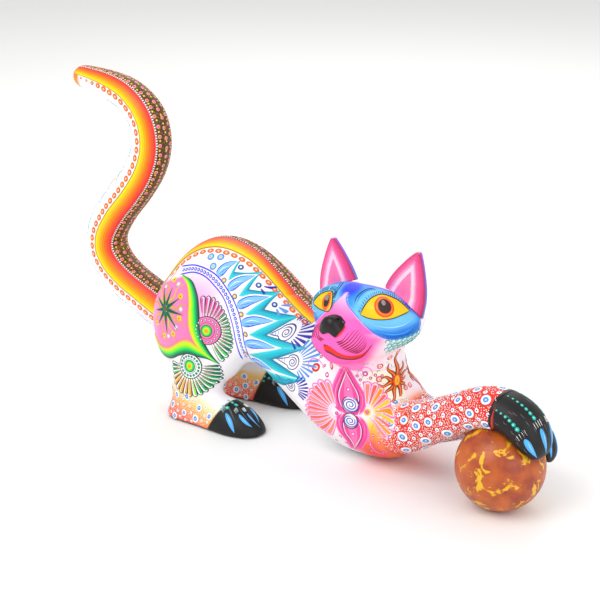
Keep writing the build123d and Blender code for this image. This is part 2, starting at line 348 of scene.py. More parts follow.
def paint_ground(points, name):
    """The broad colour of each point of a piece."""
    x, y, z = points.T
    # The white ground goes lilac grey lower down, behind the chest: painted shade.
    rgb = blend(np.tile(linear("#F5F2F4")[:3], (len(points), 1)), "#D9D0DC",
        (44 - z) / 160 * (x < 60))
    rgb = blend(rgb, "#F7A8DC", near(points, (-62, -30, 88), 30) * 1.1)
    rgb = blend(rgb, "#F7A8DC", near(points, (-62, 39, 88), 30) * 1.1)
    for row_y in (y, 2 * SPINE_Y - y):
        field = inside(np.column_stack([x, z]), [(-79, 102), (-67, 96), (-60, 86), (-59, 74),
            (-55, 62), (-48, 52), (-60, 54), (-72, 52), (-86, 47), (-108, 48), (-112, 74),
            (-100, 92)])
        airbrush = ramp(x, [(-108, "#F7A6D6"), (-95, "#FF86BF"), (-60, "#FF78B2")])
        rgb = blend(rgb, airbrush, edge(field, 2.0) * edge(-4 - row_y, 4) * (z > 40))
    # A pale blue patch low at the back of the near haunch, where it meets the body: painted shade.
    rgb = blend(rgb, "#9CCDF4", near(points, (-110, -8, 56), 15) * 1.4)
    # the chest: pale pink, going yellow and orange underneath and red towards the legs
    chest = edge(x - 58 + 0.25 * (z - 40), 20)
    along = ((x - 70) + (y + 30)) * 0.707
    low = z - 0.9 * along.clip(0, 13)
    rgb = blend(rgb, "#FBDDEB", chest * 0.6)
    rgb = blend(rgb, ramp(low, [(0, "#EE3D26"), (10, "#F5602A"), (17, "#FB9A26"),
        (24, "#FCCB3E"), (31, "#FBE7C4")]), chest * edge(31 - low, 12) * 0.95)
    rgb = blend(rgb, "#FAF4DA", near(points, (90, -16, 60), 28) * 1.5)
    # the hind ankles: coral at the heel, going through orange and yellow to white
    ankle = np.clip((-20 - x) / 6, 0, 1) * (x > -120)
    rise = z + np.where(y < SPINE_Y, 0.35, 0.15) * (x + 84)
    rgb = blend(rgb, ramp(rise, [(0, "#EC5648"), (11, "#F0705A"), (18, "#F7A05A"),
        (24, "#F9CB72"), (31, "#FBF0D8")]), edge(32 - rise, 6) * ankle * edge(25 - z, 6))
    # the forelegs: red, running to orange and cream at the shoulder
    if "foreleg" in name or name == "torso":
        start = x - 84 - 0.8 * (z - 42).clip(0)
        rgb = blend(rgb, ramp(start, [(0, "#F8B070"), (9, "#EE5A35"), (18, "#DF3326"),
            (92, "#DB2F2C")]), edge(start - 4, 10) * edge(x - 66, 20))
    if name == "head":
        uv = to_face(points)
        side = np.column_stack([np.abs(uv[:, 0]), uv[:, 1]])
        rgb = blend(np.tile(linear("#F6F1F6")[:3], (len(points), 1)), "#FBD5E8",
            edge(26 - side[:, 0], 12) * 0.8)
        muzzle = inside(side, MUZZLE)
        pink = ramp(uv[:, 1], [(-29, "#FA8CCB"), (-20, "#FF5DB6"), (4, "#FF66BE"),
            (11, "#FD92D2"), (18, "#FBC8EC")])
        rgb = blend(rgb, pink, edge(muzzle, np.where((uv[:, 1] < -2) & (side[:, 0] > 12), 9.0,
            1.2)))
        rgb = blend(rgb, "#BFE7E5", edge(inside(side,
            [(26, -7), (48, -3.5), (46, -14.5), (28, -18)]), 2.5) * 0.9)
        mask = inside(side, MASK)
        eyes = np.maximum(inside(uv, EYE_LEFT), inside(uv, EYE_RIGHT))
        blue = np.tile(linear("#2E8FEA")[:3], (len(points), 1))
        blue = blend(blue, "#1573D9", edge(1.0 - uv[:, 1], 5))
        blue = blend(blue, "#0C62CC", edge(-3.2 - uv[:, 1], 2.5))
        blue = blend(blue, "#6CC3FB", edge(eyes + 6.0, 6))
        middle = np.linalg.norm((uv - [0, 24]) / [7.5, 6.5], axis=1)
        blue = blend(blue, "#2A3AE6", edge(1.15 - middle, 0.9))
        blue = blend(blue, "#7767E6", edge(uv[:, 1] - 29 + (side[:, 0] / 15) ** 2, 4.5))
        blue = blend(blue, "#2A2FD8", near(np.column_stack([side, 0 * uv[:, 0]]), (45, 11, 0), 8)
            * 1.6)
        rgb = blend(rgb, blue, edge(mask, 1.0))
        rgb = blend(rgb, "#1D1A1A", edge(inside(uv, NOSE), 0.6))
    # glossy black toes and paws
    black = np.zeros(len(points))
    if name == "right_hind_leg" or name == "left_hind_leg":
        heel = -45 if name == "right_hind_leg" else -52
        black = edge(x - heel - (0.5 if heel == -45 else 0.3) * (z - 4), 1.0) * (z < 60)
        black = np.maximum(black, edge(1.6 - z, 1.0))
    if name in PAW_X:
        black = edge(x - PAW_X[name] + 0.55 * (60 - z).clip(0), 1.0)
    return blend(rgb, "#1B1919", black)


def painted_wood(name, coat_mm, gloss):
    """Acrylic on sanded wood: the ground colour, brush drag in it and a satin varnish."""
    material, tree, out = new_material(name)
    ground = add_node(tree, "ShaderNodeAttribute", attribute_name="ground")
    place = add_node(tree, "ShaderNodeTexCoord")
    wash = add_node(tree, "ShaderNodeTexNoise",
        {"Vector": place.outputs["Object"], "Scale": 90.0, "Detail": 4.0})
    drag = add_node(tree, "ShaderNodeTexNoise", {"Vector": place.outputs["Object"],
                                                 "Scale": 1 / (coat_mm * MM), "Detail": 2.0})
    value = add_node(tree, "ShaderNodeMapRange",
        {"Value": wash.outputs["Fac"], "To Min": 0.95, "To Max": 1.05})
    tint = add_node(tree, "ShaderNodeHueSaturation",
        {"Color": ground.outputs["Color"], "Value": value.outputs[0]})
    rough = add_node(tree, "ShaderNodeMapRange",
        {"Value": drag.outputs["Fac"], "To Min": gloss - 0.06, "To Max": gloss + 0.1})
    bump = add_node(tree, "ShaderNodeBump", {"Height": drag.outputs["Fac"], "Strength": 0.12,
        "Distance": 0.0002})
    shader = add_node(tree, "ShaderNodeBsdfPrincipled",
        {"Base Color": tint.outputs["Color"], "Roughness": rough.outputs[0],
        "Specular IOR Level": 0.3, "Normal": bump.outputs["Normal"]})
    tree.links.new(shader.outputs[0], out.inputs[0])
    return material


# The carving's own coat: brush drag under satin varnish, so that its broad colours read
# as paint laid on by hand.
painted_copal = painted_wood("painted_copal", 1.1, 0.42)


def paint_object(obj, points_mm, rgb):
    """Gives a mesh its ground colour."""
    ground = obj.data.attributes.new("ground", "FLOAT_COLOR", "POINT")
    ground.data.foreach_set("color", np.column_stack([rgb, np.ones(len(rgb))]).astype(
        np.float32).ravel())


# The skin is parted where the pieces meet, each quad going to the piece it lies on.
shells = {}
for name in GLUED:
    verts, faces = merged([name], 0.0)
    shells[name] = BVHTree.FromPolygons(verts.tolist(), faces)
owner = []
for m in figure.points[figure.loops].mean(axis=1):
    best, least = "torso", 1e9
    for name, shell in shells.items():
        distance = shell.find_nearest(m, least)[3]
        if distance is not None and distance < least:
            best, least = name, distance
    owner.append(best)
owner = np.array(owner)


def closed(points, faces):
    """A part of the skin with its glue faces: each open edge is drawn in to a point in the wood."""
    steps = {(f[i], f[(i + 1) % 4]) for f in faces for i in range(4)}
    after = {b: a for a, b in steps if (b, a) not in steps}
    points, middle = list(points), np.mean(points, axis=0)
    while after:
        loop = [next(iter(after))]
        while after.get(loop[-1]) is not None:
            loop.append(after.pop(loop[-1]))
        rim = [i for i in loop[:-1]] if loop[0] == loop[-1] else loop
        centre = np.mean([points[i] for i in rim], axis=0)
        points.append(centre + (middle - centre) * 0.05)
        faces += [[rim[i], rim[(i + 1) % len(rim)], len(points) - 1] for i in range(len(rim))]
    return np.array(points), faces


for name in GLUED:
    quads = figure.loops[owner == name]
    used, index = np.unique(quads, return_inverse=True)
    points, quads = closed(figure.points[used], index.reshape(-1, 4).tolist())
    piece = mesh_object(name + "_carving", points, quads)
    paint_object(piece, points, paint_ground(points, name))
    piece.data.materials.append(painted_copal)
    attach(piece, "figure")
    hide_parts(name)

# ---------------------------------------------------------------- face
# Eyes, lashes, nose, lips and whiskers in acrylic, put on over the ground with a fine
# brush. Every stroke is a thin raised film that follows the wood.


class Grid:
    """Millimetre coordinates on a surface, found by casting rays onto it."""

    def __init__(self, surface, rays):
        self.surface = surface
        self.rays = rays

    def place(self, uv):
        """Points, outward normals, and whether each ray landed."""
        origins, aims = self.rays(np.asarray(uv, float))
        points = np.zeros((len(origins), 3))
        normals = np.tile((0.0, 0.0, 1.0), (len(origins), 1))
        landed = np.zeros(len(origins), bool)
        for i, (origin, aim) in enumerate(zip(origins.tolist(), aims.tolist())):
            point, normal, _, _ = self.surface.ray_cast(origin, aim)
            if point is not None:
                points[i], normals[i], landed[i] = point, normal, True
        landed &= (normals * aims).sum(1) < -0.12
        return points, normals, landed


def face_rays(uv):
    """Rays onto the head from all round the middle of the face."""
    across, up = (uv / FACE_RADIUS).T
    out_local = np.column_stack([np.sin(across) * np.cos(up), -np.cos(across) * np.cos(up),
        np.sin(up)])
    far = from_head(FACE_POLE + out_local * 48)
    return far, (from_head(FACE_POLE) - far) / 48


def curve(points, closed=False, step=1.1):
    """A smooth line through a few points, evenly divided."""
    p = np.asarray(points, float)
    p = np.vstack([p[-1], p, p[0], p[1]] if closed else [2 * p[0] - p[1], p, 2 * p[-1] - p[-2]])
    t = np.linspace(0, 1, 12, endpoint=False)[:, None]
    fine = [0.5 * (2 * b + (c - a) * t + (2 * a - 5 * b + 4 * c - d) * t ** 2
        + (3 * b - a - 3 * c + d) * t ** 3) for a, b, c,
        d in zip(p[:-3], p[1:-2], p[2:-1], p[3:])]
    fine = np.vstack(fine + [p[1] if closed else p[-2]])
    length = np.concatenate([[0], np.cumsum(np.linalg.norm(np.diff(fine, axis=0), axis=1))])
    even = np.linspace(0, length[-1], max(3, int(length[-1] / step) + 2))
    return np.column_stack([np.interp(even, length, fine[:, k]) for k in range(fine.shape[1])])


def polar(centre, radius, degrees):
    """Points round a centre."""
    a = np.radians(np.atleast_1d(degrees))
    return np.asarray(centre, float) + np.column_stack([np.cos(a), np.sin(a)]) * np.reshape(
        radius, (-1, 1))


ACRYLICS = {"white": "#FCFCFA", "black": "#1D1A1A", "grey": "#8C898A", "yellow": "#FBC40F",
    "orange": "#FB8A1C", "vermilion": "#F4511E", "red": "#E5291F", "maroon": "#8E1638",
    "umber": "#3B2A28", "sky": "#62B9F7", "blue_light": "#3FA2F2", "blue_mid": "#1B7BE0",
    "blue_deep": "#1358C4", "navy_black": "#15203A", "teal": "#1FA7A5", "teal_pale": "#A8E6DF",
    "pale_blue": "#A9DCFB", "magenta": "#D63C8C", "dark_red": "#A32A30"}
acrylic_materials = {}


def acrylic(ink):
    """Brushed acrylic of one colour, with drag marks in its gloss and height."""
    if ink not in acrylic_materials:
        gloss = {"black": 0.28, "yellow": 0.35}.get(ink, 0.4)
        material, tree, out = new_material("acrylic_" + ink)
        place = add_node(tree, "ShaderNodeTexCoord")
        drag = add_node(tree, "ShaderNodeTexNoise",
            {"Vector": place.outputs["Object"], "Scale": 1100.0, "Detail": 2.0})
        rough = add_node(tree, "ShaderNodeMapRange",
            {"Value": drag.outputs["Fac"], "To Min": gloss - 0.08, "To Max": gloss + 0.12})
        bump = add_node(tree, "ShaderNodeBump", {"Height": drag.outputs["Fac"], "Strength": 0.1,
            "Distance": 0.0002})
        shader = add_node(tree, "ShaderNodeBsdfPrincipled",
            {"Base Color": linear(ACRYLICS[ink]), "Roughness": rough.outputs[0],
            "Specular IOR Level": 0.3, "Normal": bump.outputs["Normal"]})
        tree.links.new(shader.outputs[0], out.inputs[0])
        acrylic_materials[ink] = material
    return acrylic_materials[ink]


# Dots and dashes are one small dab, set at each point and turned to lie on the wood.
dabs = bpy.data.node_groups.new("dabs_of_paint", "GeometryNodeTree")
dabs.interface.new_socket("Geometry", in_out="INPUT", socket_type="NodeSocketGeometry")
dabs.interface.new_socket("Sides", in_out="INPUT", socket_type="NodeSocketInt")
dabs.interface.new_socket("Paint", in_out="INPUT", socket_type="NodeSocketMaterial")
dabs.interface.new_socket("Geometry", in_out="OUTPUT", socket_type="NodeSocketGeometry")
into = add_node(dabs, "NodeGroupInput")
turn_of = add_node(dabs, "GeometryNodeInputNamedAttribute", {"Name": "turn"},
    data_type="FLOAT_VECTOR")
size_of = add_node(dabs, "GeometryNodeInputNamedAttribute", {"Name": "size"},
    data_type="FLOAT_VECTOR")
dab = add_node(dabs, "GeometryNodeMeshCone",
    {"Vertices": into.outputs["Sides"], "Radius Top": 0.72, "Radius Bottom": 1.0, "Depth": 1.0})
placed = add_node(dabs, "GeometryNodeInstanceOnPoints",
    {"Points": into.outputs["Geometry"], "Instance": dab.outputs["Mesh"],
    "Rotation": turn_of.outputs["Attribute"], "Scale": size_of.outputs["Attribute"]})
real = add_node(dabs, "GeometryNodeRealizeInstances", {"Geometry": placed.outputs["Instances"]})
painted = add_node(dabs, "GeometryNodeSetMaterial", {"Geometry": real.outputs["Geometry"],
                                                     "Material": into.outputs["Paint"]})
add_node(dabs, "NodeGroupOutput", {"Geometry": painted.outputs["Geometry"]})
DAB_INPUTS = {item.name: item.identifier for item in dabs.interface.items_tree
    if item.in_out == "INPUT"}


def evenly(grid, line, pitch, start=0.0):
    """Grid points a real distance apart on the wood, along a line of grid points."""
    points, _, landed = grid.place(line)
    apart = np.linalg.norm(np.diff(points, axis=0), axis=1)
    apart[~(landed[1:] & landed[:-1]) | (apart > 9)] = 0.0
    length = np.concatenate([[0], np.cumsum(apart)])
    at = np.arange(start, length[-1], pitch)
    return np.column_stack([np.interp(at, length, np.asarray(line)[:, k]) for k in (0, 1)])


class Brushwork:
    """All the strokes and dots that go on one piece of wood."""

    def __init__(self, name):
        self.name = name
        self.points, self.faces, self.inks = [], [], []
        self.count = 0
        self.dabs = {}

    def strip(self, grid, one, other, inks, lift=0.16):
        """Paint between two lines, in bands of colour from one to the other."""
        one, other = np.asarray(one, float), np.asarray(other, float)
        inks = [inks] if isinstance(inks, str) else inks
        spans = np.maximum(np.linalg.norm(np.diff(one, axis=0), axis=1),
            np.linalg.norm(np.diff(other, axis=0), axis=1))
        t = np.concatenate([i + np.arange(n) / n for i,
            n in enumerate(np.ceil(spans / 1.4).astype(int).clip(1))] + [[len(one) - 1]])
        along = np.arange(len(one))
        one = np.column_stack([np.interp(t, along, one[:, k]) for k in (0, 1)])
        other = np.column_stack([np.interp(t, along, other[:, k]) for k in (0, 1)])
        width = np.percentile(np.linalg.norm(one - other, axis=1), 80) + 1e-6
        steps = int(np.ceil(width / len(inks) / 1.7))
        rim = min(0.3 / len(inks), 0.22 / width)
        cross = np.unique(np.concatenate([[0, rim, 1 - rim, 1],
            np.linspace(0, 1, len(inks) * steps + 1)[1:-1]]))
        uv = one[None] * (1 - cross[:, None, None]) + other[None] * cross[:, None, None]
        points, normals, landed = grid.place(uv.reshape(-1, 2))
        height = np.where((cross == 0) | (cross == 1), -0.06, lift)
        points = (points + normals * np.repeat(height, len(t))[:, None]).reshape(len(cross),
            len(t), 3)
        normals, landed = normals.reshape(points.shape), landed.reshape(points.shape[:2])
        index = np.arange(points[..., 0].size).reshape(landed.shape)
        for i in range(len(cross) - 1):
            ink = inks[min(int((cross[i] + cross[i + 1]) / 2 * len(inks)), len(inks) - 1)]
            for j in range(len(t) - 1):
                corners = [(i, j), (i, j + 1), (i + 1, j + 1), (i + 1, j)]
                if not all(landed[c] for c in corners):
                    continue
                p = np.array([points[c] for c in corners])
                across_3d = max(np.abs(p[0] - p[2]).max(), np.abs(p[1] - p[3]).max())
                normal = np.cross(p[2] - p[0], p[3] - p[1])
                if across_3d > 7 or not normal.any():
                    continue
                face = [int(index[c]) + self.count for c in corners]
                self.faces.append(face if normal @ normals[i, j] > 0 else face[::-1])
                self.inks.append(ink)
        self.points.append(points.reshape(-1, 3))
        self.count += index.size

    def line(self, grid, points, width, inks, ends=(0.15, 0.15), lift=0.2, shape=None,
            closed=False):
        """A brush stroke along a line, narrowing towards its ends."""
        p = curve(points, closed, 0.9)
        t = np.linspace(0, 1, len(p))
        if closed:
            profile = np.ones(len(p))
        elif shape is None:
            profile = np.minimum(1, np.minimum(t / ends[0], (1 - t) / ends[1]) * 0.85 + 0.15)
        else:
            profile = shape(t)
        tangent = np.gradient(p, axis=0)
        if closed:
            tangent[0] = tangent[-1] = p[1] - p[-2]
        sideways = np.column_stack([-tangent[:, 1], tangent[:, 0]]) / (
            np.linalg.norm(tangent, axis=1)[:, None] + 1e-9)
        half = sideways * profile[:, None] * width / 2
        self.strip(grid, p + half, p - half, inks, lift)

    def dot(self, grid, at, radius, ink, lift=0.1, height=0.16, stretch=1.0, along=0.0, sides=12):
        """Round or long dabs at grid points; stretch and direction can differ from dab to dab."""
        at = np.atleast_2d(np.asarray(at, float))
        n = len(at)
        radius, stretch, along = (np.broadcast_to(v, n).astype(float)
            for v in (radius, stretch, along))
        points, normals, landed = grid.place(at)
        ahead, _, ahead_landed = grid.place(at + np.column_stack([np.cos(along), np.sin(along)])
            * 0.5)
        tangent = ahead - points
        tangent -= normals * (tangent * normals).sum(1)[:, None]
        size = np.linalg.norm(tangent, axis=1)
        good = landed & ahead_landed & (size > 0.05) & (size < 2.5)
        x = tangent[good] / size[good, None]
        z = normals[good]
        y = np.cross(z, x)
        turns = [Matrix(np.column_stack(axes).tolist()).to_euler()[:] for axes in zip(x, y, z)]
        if turns:
            sizes = np.column_stack([radius[good] * stretch[good], radius[good],
                np.full(good.sum(), height)])
            self.dabs.setdefault((ink, sides), []).append(
                (points[good] + z * (lift - 0.1), np.array(turns), sizes))

    def disc(self, grid, centre, radius, ink, lift):
        """A larger round patch that follows the wood."""
        circle = polar(centre, radius, np.linspace(90, -90, 17))
        self.strip(grid, circle, circle * (-1, 1) + (2 * centre[0], 0), ink, lift)

    def ring(self, grid, at, radii, inks, stretch=1.0, along=0.0, sides=14):
        """Dots on dots, each a little smaller and higher."""
        for k, (radius, ink) in enumerate(zip(radii, inks)):
            self.dot(grid, at, radius, ink, 0.1 + 0.07 * k, stretch=stretch, along=along,
                sides=sides)

    def finish(self, body):
        """One mesh of everything painted, riding on a body."""
        inks = sorted(set(self.inks) | {ink for ink, _ in self.dabs})
        points = list(self.points)
        faces = list(self.faces)
        paints = [inks.index(ink) for ink in self.inks]
        count = self.count
        for (ink, sides), groups in self.dabs.items():
            at, turns, sizes = (np.vstack([g[k] for g in groups]) for k in range(3))
            cloud = mesh_object("cloud", at, [])
            for key, values in (("turn", turns), ("size", sizes * MM)):
                attribute = cloud.data.attributes.new(key, "FLOAT_VECTOR", "POINT")
                attribute.data.foreach_set("vector", values.astype(np.float32).ravel())
            modifier = cloud.modifiers.new("dabs", "NODES")
            modifier.node_group = dabs
            modifier[DAB_INPUTS["Sides"]] = sides
            modifier[DAB_INPUTS["Paint"]] = acrylic(ink)
            mesh = bpy.data.meshes.new_from_object(
                cloud.evaluated_get(bpy.context.evaluated_depsgraph_get()))
            flat = np.zeros(len(mesh.vertices) * 3)
            mesh.vertices.foreach_get("co", flat)
            points.append(flat.reshape(-1, 3) / MM)
            faces += [[v + count for v in p.vertices] for p in mesh.polygons]
            paints += [inks.index(ink)] * len(mesh.polygons)
            count += len(mesh.vertices)
            bpy.data.objects.remove(cloud)
        obj = mesh_object(self.name, np.vstack(points), faces)
        for ink in inks:
            obj.data.materials.append(acrylic(ink))
        obj.data.polygons.foreach_set("material_index", paints)
        obj.data.update()
        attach(obj, body)
        return obj


head_brush = Brushwork("head_brushwork")
face = Grid(figure_surface, face_rays)

# Borders of the mask: white above, pale blue beneath, and the pink bridge between the eyes.
for left in (-1, 1):

    def flip(line):
        return [(left * u, v) for u, v in line]

    head_brush.line(face, flip([(0, 34.6), (18, 34.6), (33, 30.2), (40.5, 24.6), (43.8, 15),
        (46.8, 9), (48, 4)]), 1.3, "white")
    head_brush.line(face, flip([(44.8, 12), (45.2, 9), (46.4, 3), (45, -3.2), (37, -5.6),
        (27, -5.4), (19.3, -1.6), (13.3, 3.9)]), 0.9, "blue_mid")
    head_brush.line(face, flip([(19.5, 0.2), (27, -2.4), (35, -2.4), (42, 0.6)]), 1.5,
        ["blue_mid", "blue_light"], (0.3, 0.3))
    head_brush.line(face, flip([(17.5, 3.4), (26, 1.6), (34, 1.8), (41, 4.2)]), 1.6,
        ["sky", "pale_blue"], (0.4, 0.4))
    head_brush.line(face, flip([(0.7, 19), (1.7, 16.3), (3.4, 13.2), (6.8, 9.6), (12.8, 4.3)]),
        0.5, "blue_mid")
    head_brush.line(face, flip([(7.9, 13.4), (8.4, 17.1), (11, 21.3), (14.8, 24), (20, 25.3)]),
        1.0, "navy_black", shape=lambda t: np.sin(np.pi * t) ** 0.7 + 0.05)
    head_brush.line(face, flip([(9.5, 14), (10, 17.1), (12.2, 20.5), (16, 22.9), (22, 23.9)]),
        0.8, "blue_deep", shape=lambda t: np.sin(np.pi * t) ** 0.7 + 0.05)

for outline, iris, grow, left in ((EYE_LEFT, (25.3, 12.0), (5.9, 5.5), 1),
        (EYE_RIGHT, (-12.4, 10.9), (2.7, 4.9), -1)):
    inner, outer = outline[0], outline[5]
    upper = curve(outline[:6], step=0.7)
    lower = curve([outline[0]] + outline[:5:-1] + [outline[5]], step=0.7)
    t = np.linspace(0, 1, 40)
    rows = [np.column_stack([np.interp(t, np.linspace(0, 1, len(l)), l[:, k]) for k in (0, 1)])
        for l in (upper, lower)]
    head_brush.strip(face, rows[0], rows[1], "yellow", 0.18)
    for k, (share, ink) in enumerate(((1.0, "vermilion"), (0.84, "orange"), (0.74, "vermilion"),
            (0.68, "umber"))):
        circle = polar((0, 0), 1, np.linspace(90, -90, 19)) * grow * share + iris
        mirror = circle * (-1, 1) + (2 * iris[0], 0)
        head_brush.strip(face, circle, mirror, ink, 0.24 + 0.06 * k)
    glint = polar(np.array(iris) + (-0.5, 1.6), 1.5, np.linspace(90, -90, 9))
    head_brush.strip(face, glint, glint * (-1, 1) + (2 * iris[0] - 1.0, 0), "grey", 0.48)
    head_brush.line(face, upper, 0.75, "black", (0.1, 0.1), 0.5)
    head_brush.line(face, lower, 0.5, "umber", (0.1, 0.1), 0.5)
    normal = np.gradient(upper, axis=0)[:, ::-1] * (-left, left)
    normal /= np.linalg.norm(normal, axis=1)[:, None]
    for k, i in enumerate(np.linspace(1, len(upper) - 2, 29).astype(int)):
        lean = np.array((0.25 * left, 0.0))
        root = upper[i] + normal[i] * 0.7
        tip = root + (normal[i] + lean) * (3.0 if 3 < k < 22 else 2.1)
        head_brush.line(face, [root, (root + tip) / 2 + (0.15 * left, 0), tip], 0.55,
            "navy_black", (0.1, 0.8), 0.26)

nose_top = [(-6.6, 3.2), (-4.4, 5.4), (-1.2, 6.2), (1.7, 5.7), (4.2, 3.4)]
nose_low = [(-6.2, 0.6), (-3.9, -2.2), (-0.4, -0.9), (2.2, -2.6), (4.6, 0.6)]
nose_top, nose_low = curve(nose_top, step=0.6), curve(nose_low, step=0.6)
t = np.linspace(0, 1, 24)
nose_rows = [np.column_stack([np.interp(t, np.linspace(0, 1, len(l)), l[:, k]) for k in (0, 1)])
    for l in (nose_top, nose_low)]
head_brush.strip(face, nose_rows[0], nose_rows[1], ["black"] * 4, 0.55)
head_brush.line(face, [(4.9, 1.6), (4.6, -0.2), (3.4, -1.9), (2.4, -2.7)], 0.9, "red",
    (0.2, 0.3), 0.6)
head_brush.line(face, [(-6.8, 1.6), (-6.3, 0), (-5.2, -1.4)], 0.8, "red", (0.2, 0.3), 0.6)
# Two small grey marks on top of the glossy black nose: painted highlights.
head_brush.line(face, [(-5.2, 3.2), (-4.4, 3.4)], 0.7, "grey", (0.4, 0.4), 0.66)
head_brush.line(face, [(3.0, 3.6), (3.9, 2.8)], 0.5, "grey", (0.4, 0.4), 0.66)

lip_top = curve([(-17.5, -10), (-13.5, -11.3), (-9, -10), (-5.6, -8), (-2.7, -6.6), (0.2, -7.0),
    (4.5, -8.9), (9.1, -10.9), (13.2, -11.4), (17.6, -9.2)], step=0.7)
lip_low = curve([(-17.5, -10), (-13.5, -12.8), (-9, -12.2), (-5.6, -10.6), (-2.9, -9.6),
    (0.2, -10.4), (4.2, -12.3), (8.8, -13.8), (13.2, -13.3), (17.6, -9.2)], step=0.7)
t = np.linspace(0, 1, 50)
lips = [np.column_stack([np.interp(t, np.linspace(0, 1, len(l)), l[:, k]) for k in (0, 1)])
    for l in (lip_top, lip_low)]
head_brush.strip(face, lips[0], lips[1], ["red", "red", "dark_red"], 0.22)
head_brush.line(face, [(-7, -8.9), (-5, -7.6), (-2.7, -6.5), (-0.6, -6.9)], 0.5, "umber",
    (0.4, 0.4), 0.3)
head_brush.line(face, lip_low[6:], 0.55, "umber", (0.2, 0.2), 0.3)
head_brush.line(face, [(13.5, -11.6), (16, -10.6), (18.2, -8.2)], 0.6, "umber", (0.5, 0.5), 0.32)
for left in (-1, 1):
    for k in range(10):
        s = k / 9
        root = np.array((3.0 + 7.8 * s, -4.6 - 5.6 * s))
        tip = np.array([(7.2, -1.0), (9.4, -0.3), (11.3, -0.2), (12.4, -1.0), (13.5, -2.0),
            (14.4, -3.1), (15.0, -4.2), (15.4, -5.3), (15.6, -6.4), (15.4, -7.4)][k])
        middle = (root + tip) / 2 + (0.5, -0.7)
        head_brush.line(face, [root * (left, 1), middle * (left, 1), tip * (left, 1)], 0.85,
            "maroon", (0.12, 0.9), 0.24)

# Teal scales between the mask and the jaw, and grey flecks under them.
for left in (-1, 1):
    for row in range(4):
        for k in range(7):
            at = np.array((26.5 + 3.1 * k + 1.5 * (row % 2), -7.4 - 2.9 * row + 0.4 * k))
            head_brush.line(face, polar(at, 1.3, np.linspace(215, -35, 9)) * (left, 1), 0.75,
                "teal", (0.2, 0.3), 0.22)
            head_brush.dot(face, at * (left, 1), 0.6, "white", 0.2, sides=7)
    for k in range(9):
        head_brush.line(face, [(left * (25 + 2.6 * k), -20 + 0.3 * k),
            (left * (25.8 + 2.6 * k), -21.6 + 0.3 * k)], 0.45, "grey", (0.4, 0.4))
head_brush.finish("figure")

# ---------------------------------------------------------------- ears
# Two leaves of wood, dished in front and painted in nested bands of pink; their backs are
# blue going violet. They lift off the skull. Such ears plug in on a peg, but the nodes
# covered here have none, so none is shown.

EARS = {"right_ear": ((-25.5, 5.0, 4.0), -8.0), "left_ear": ((22.0, 5.0, 7.0), 19.0)}
# The ears' own coat, so that their bands read as the same paint on smaller pieces.
painted_ear = painted_wood("painted_ear_wood", 0.9, 0.38)
for name, (base, lean) in EARS.items():
    skin = Skin(*remeshed(name + "_blank", *merged([name], 0.0), 0.55))
    axis = np.array([sin(radians(lean)), 0.0, cos(radians(lean))])
    side = np.array([axis[2], 0.0, -axis[0]])
    local = to_head(skin.points) - np.asarray(base)
    up, across, deep = local @ axis, local @ side, local[:, 1]
    rows = np.digitize(up, np.arange(-20, 46, 1.0))
    middle = {r: (across[rows == r].max() + across[rows == r].min()) / 2 for r in np.unique(rows)}
    half = {r: (across[rows == r].max() - across[rows == r].min()) / 2 for r in np.unique(rows)}
    centre_line = np.array([middle[r] for r in rows])
    half_width = np.array([half[r] for r in rows])
    rim = half_width - np.abs(across - centre_line)
    front = edge(-deep - 0.5, 1.5)
    dish = edge(rim - 5.0, 7.0) * edge(up - 10, 8) * front
    skin.points += np.outer(dish * 2.2, (0, 1, 0))
    bands = ramp(rim, [(0.0, "#9E2C58"), (0.9, "#C8356F"), (1.0, "#D83C78"), (2.6, "#E04682"),
        (2.9, "#F05595"), (4.8, "#F35F9C"), (5.1, "#F98ABA"), (6.4, "#FA90BE"), (6.7, "#FDC6DD"),
        (9.0, "#FDCFE3"), (9.4, "#F87BB1"), (16, "#F56FA8")])
    back = ramp(up, [(8, "#4E8FE8"), (22, "#6C6FE6"), (34, "#8C62DD"), (42, "#A95BD6")])
    back = blend(back, "#F9A51E", edge(2.0 - rim, 1.5) * (across < 0))
    rgb = bands + (back - bands) * (1 - front)[:, None]
    rgb = blend(rgb, "#D8B98A", edge(4.0 - np.hypot(across, deep), 0.4) * (up < 8))
    piece = mesh_object(name + "_leaf", skin.points, skin.quads)
    paint_object(piece, skin.points, rgb)
    piece.data.materials.append(painted_ear)
    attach(piece, name)
    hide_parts(name)

# ---------------------------------------------------------------- tail
# One long curved branch, rounded and sanded, with a dowel hole in its flat root. White
# underneath; a brown band with warm stripes beside it runs along its back.

TAIL_LINE = [(-114.0, 54.5, 15.5), (-122.3, 58.0, 15.5), (-140.5, 65.5, 15),
    (-158.5, 73.5, 14.8), (-172.5, 83.5, 14.8), (-180, 96, 14.8), (-178.5, 111, 14.8),
    (-167, 129, 14.8), (-151, 147, 14.6), (-138, 165, 14.4), (-132.5, 183, 14),
    (-136.5, 200, 13.4), (-150, 211.5, 12.2), (-167.5, 217, 10.8), (-185, 219.5, 9.2),
    (-197.5, 220.8, 7.8), (-202.5, 221.2, 5.5), (-204.2, 221.3, 2.6)]
AROUND = 72
CAMERA_SIDE = np.array([0.0, -1.0, 0.0])


def frames(line):
    """Directions along a line, out from its top, and to the cat's right."""
    ahead = np.gradient(line, axis=0)
    ahead /= np.linalg.norm(ahead, axis=1)[:, None]
    side = CAMERA_SIDE - ahead * (ahead @ CAMERA_SIDE)[:, None]
    side /= np.linalg.norm(side, axis=1)[:, None]
    return ahead, np.cross(ahead, side), side


tail_curve = curve([(x, SPINE_Y, z, r) for x, z, r in TAIL_LINE], step=1.6)
tail_line, tail_radius = tail_curve[:, :3], tail_curve[:, 3]
ahead, top, side = frames(tail_line)
ahead[0], top[0] = TAIL_AXIS, (TAIL_AXIS[2], 0, -TAIL_AXIS[0])
turns = np.arange(AROUND) / AROUND * tau
circle = top[:, None] * np.cos(turns)[None, :, None] + side[:, None] * np.sin(turns)[None, :,
    None]
rings = tail_line[:, None] + circle * tail_radius[:, None, None]
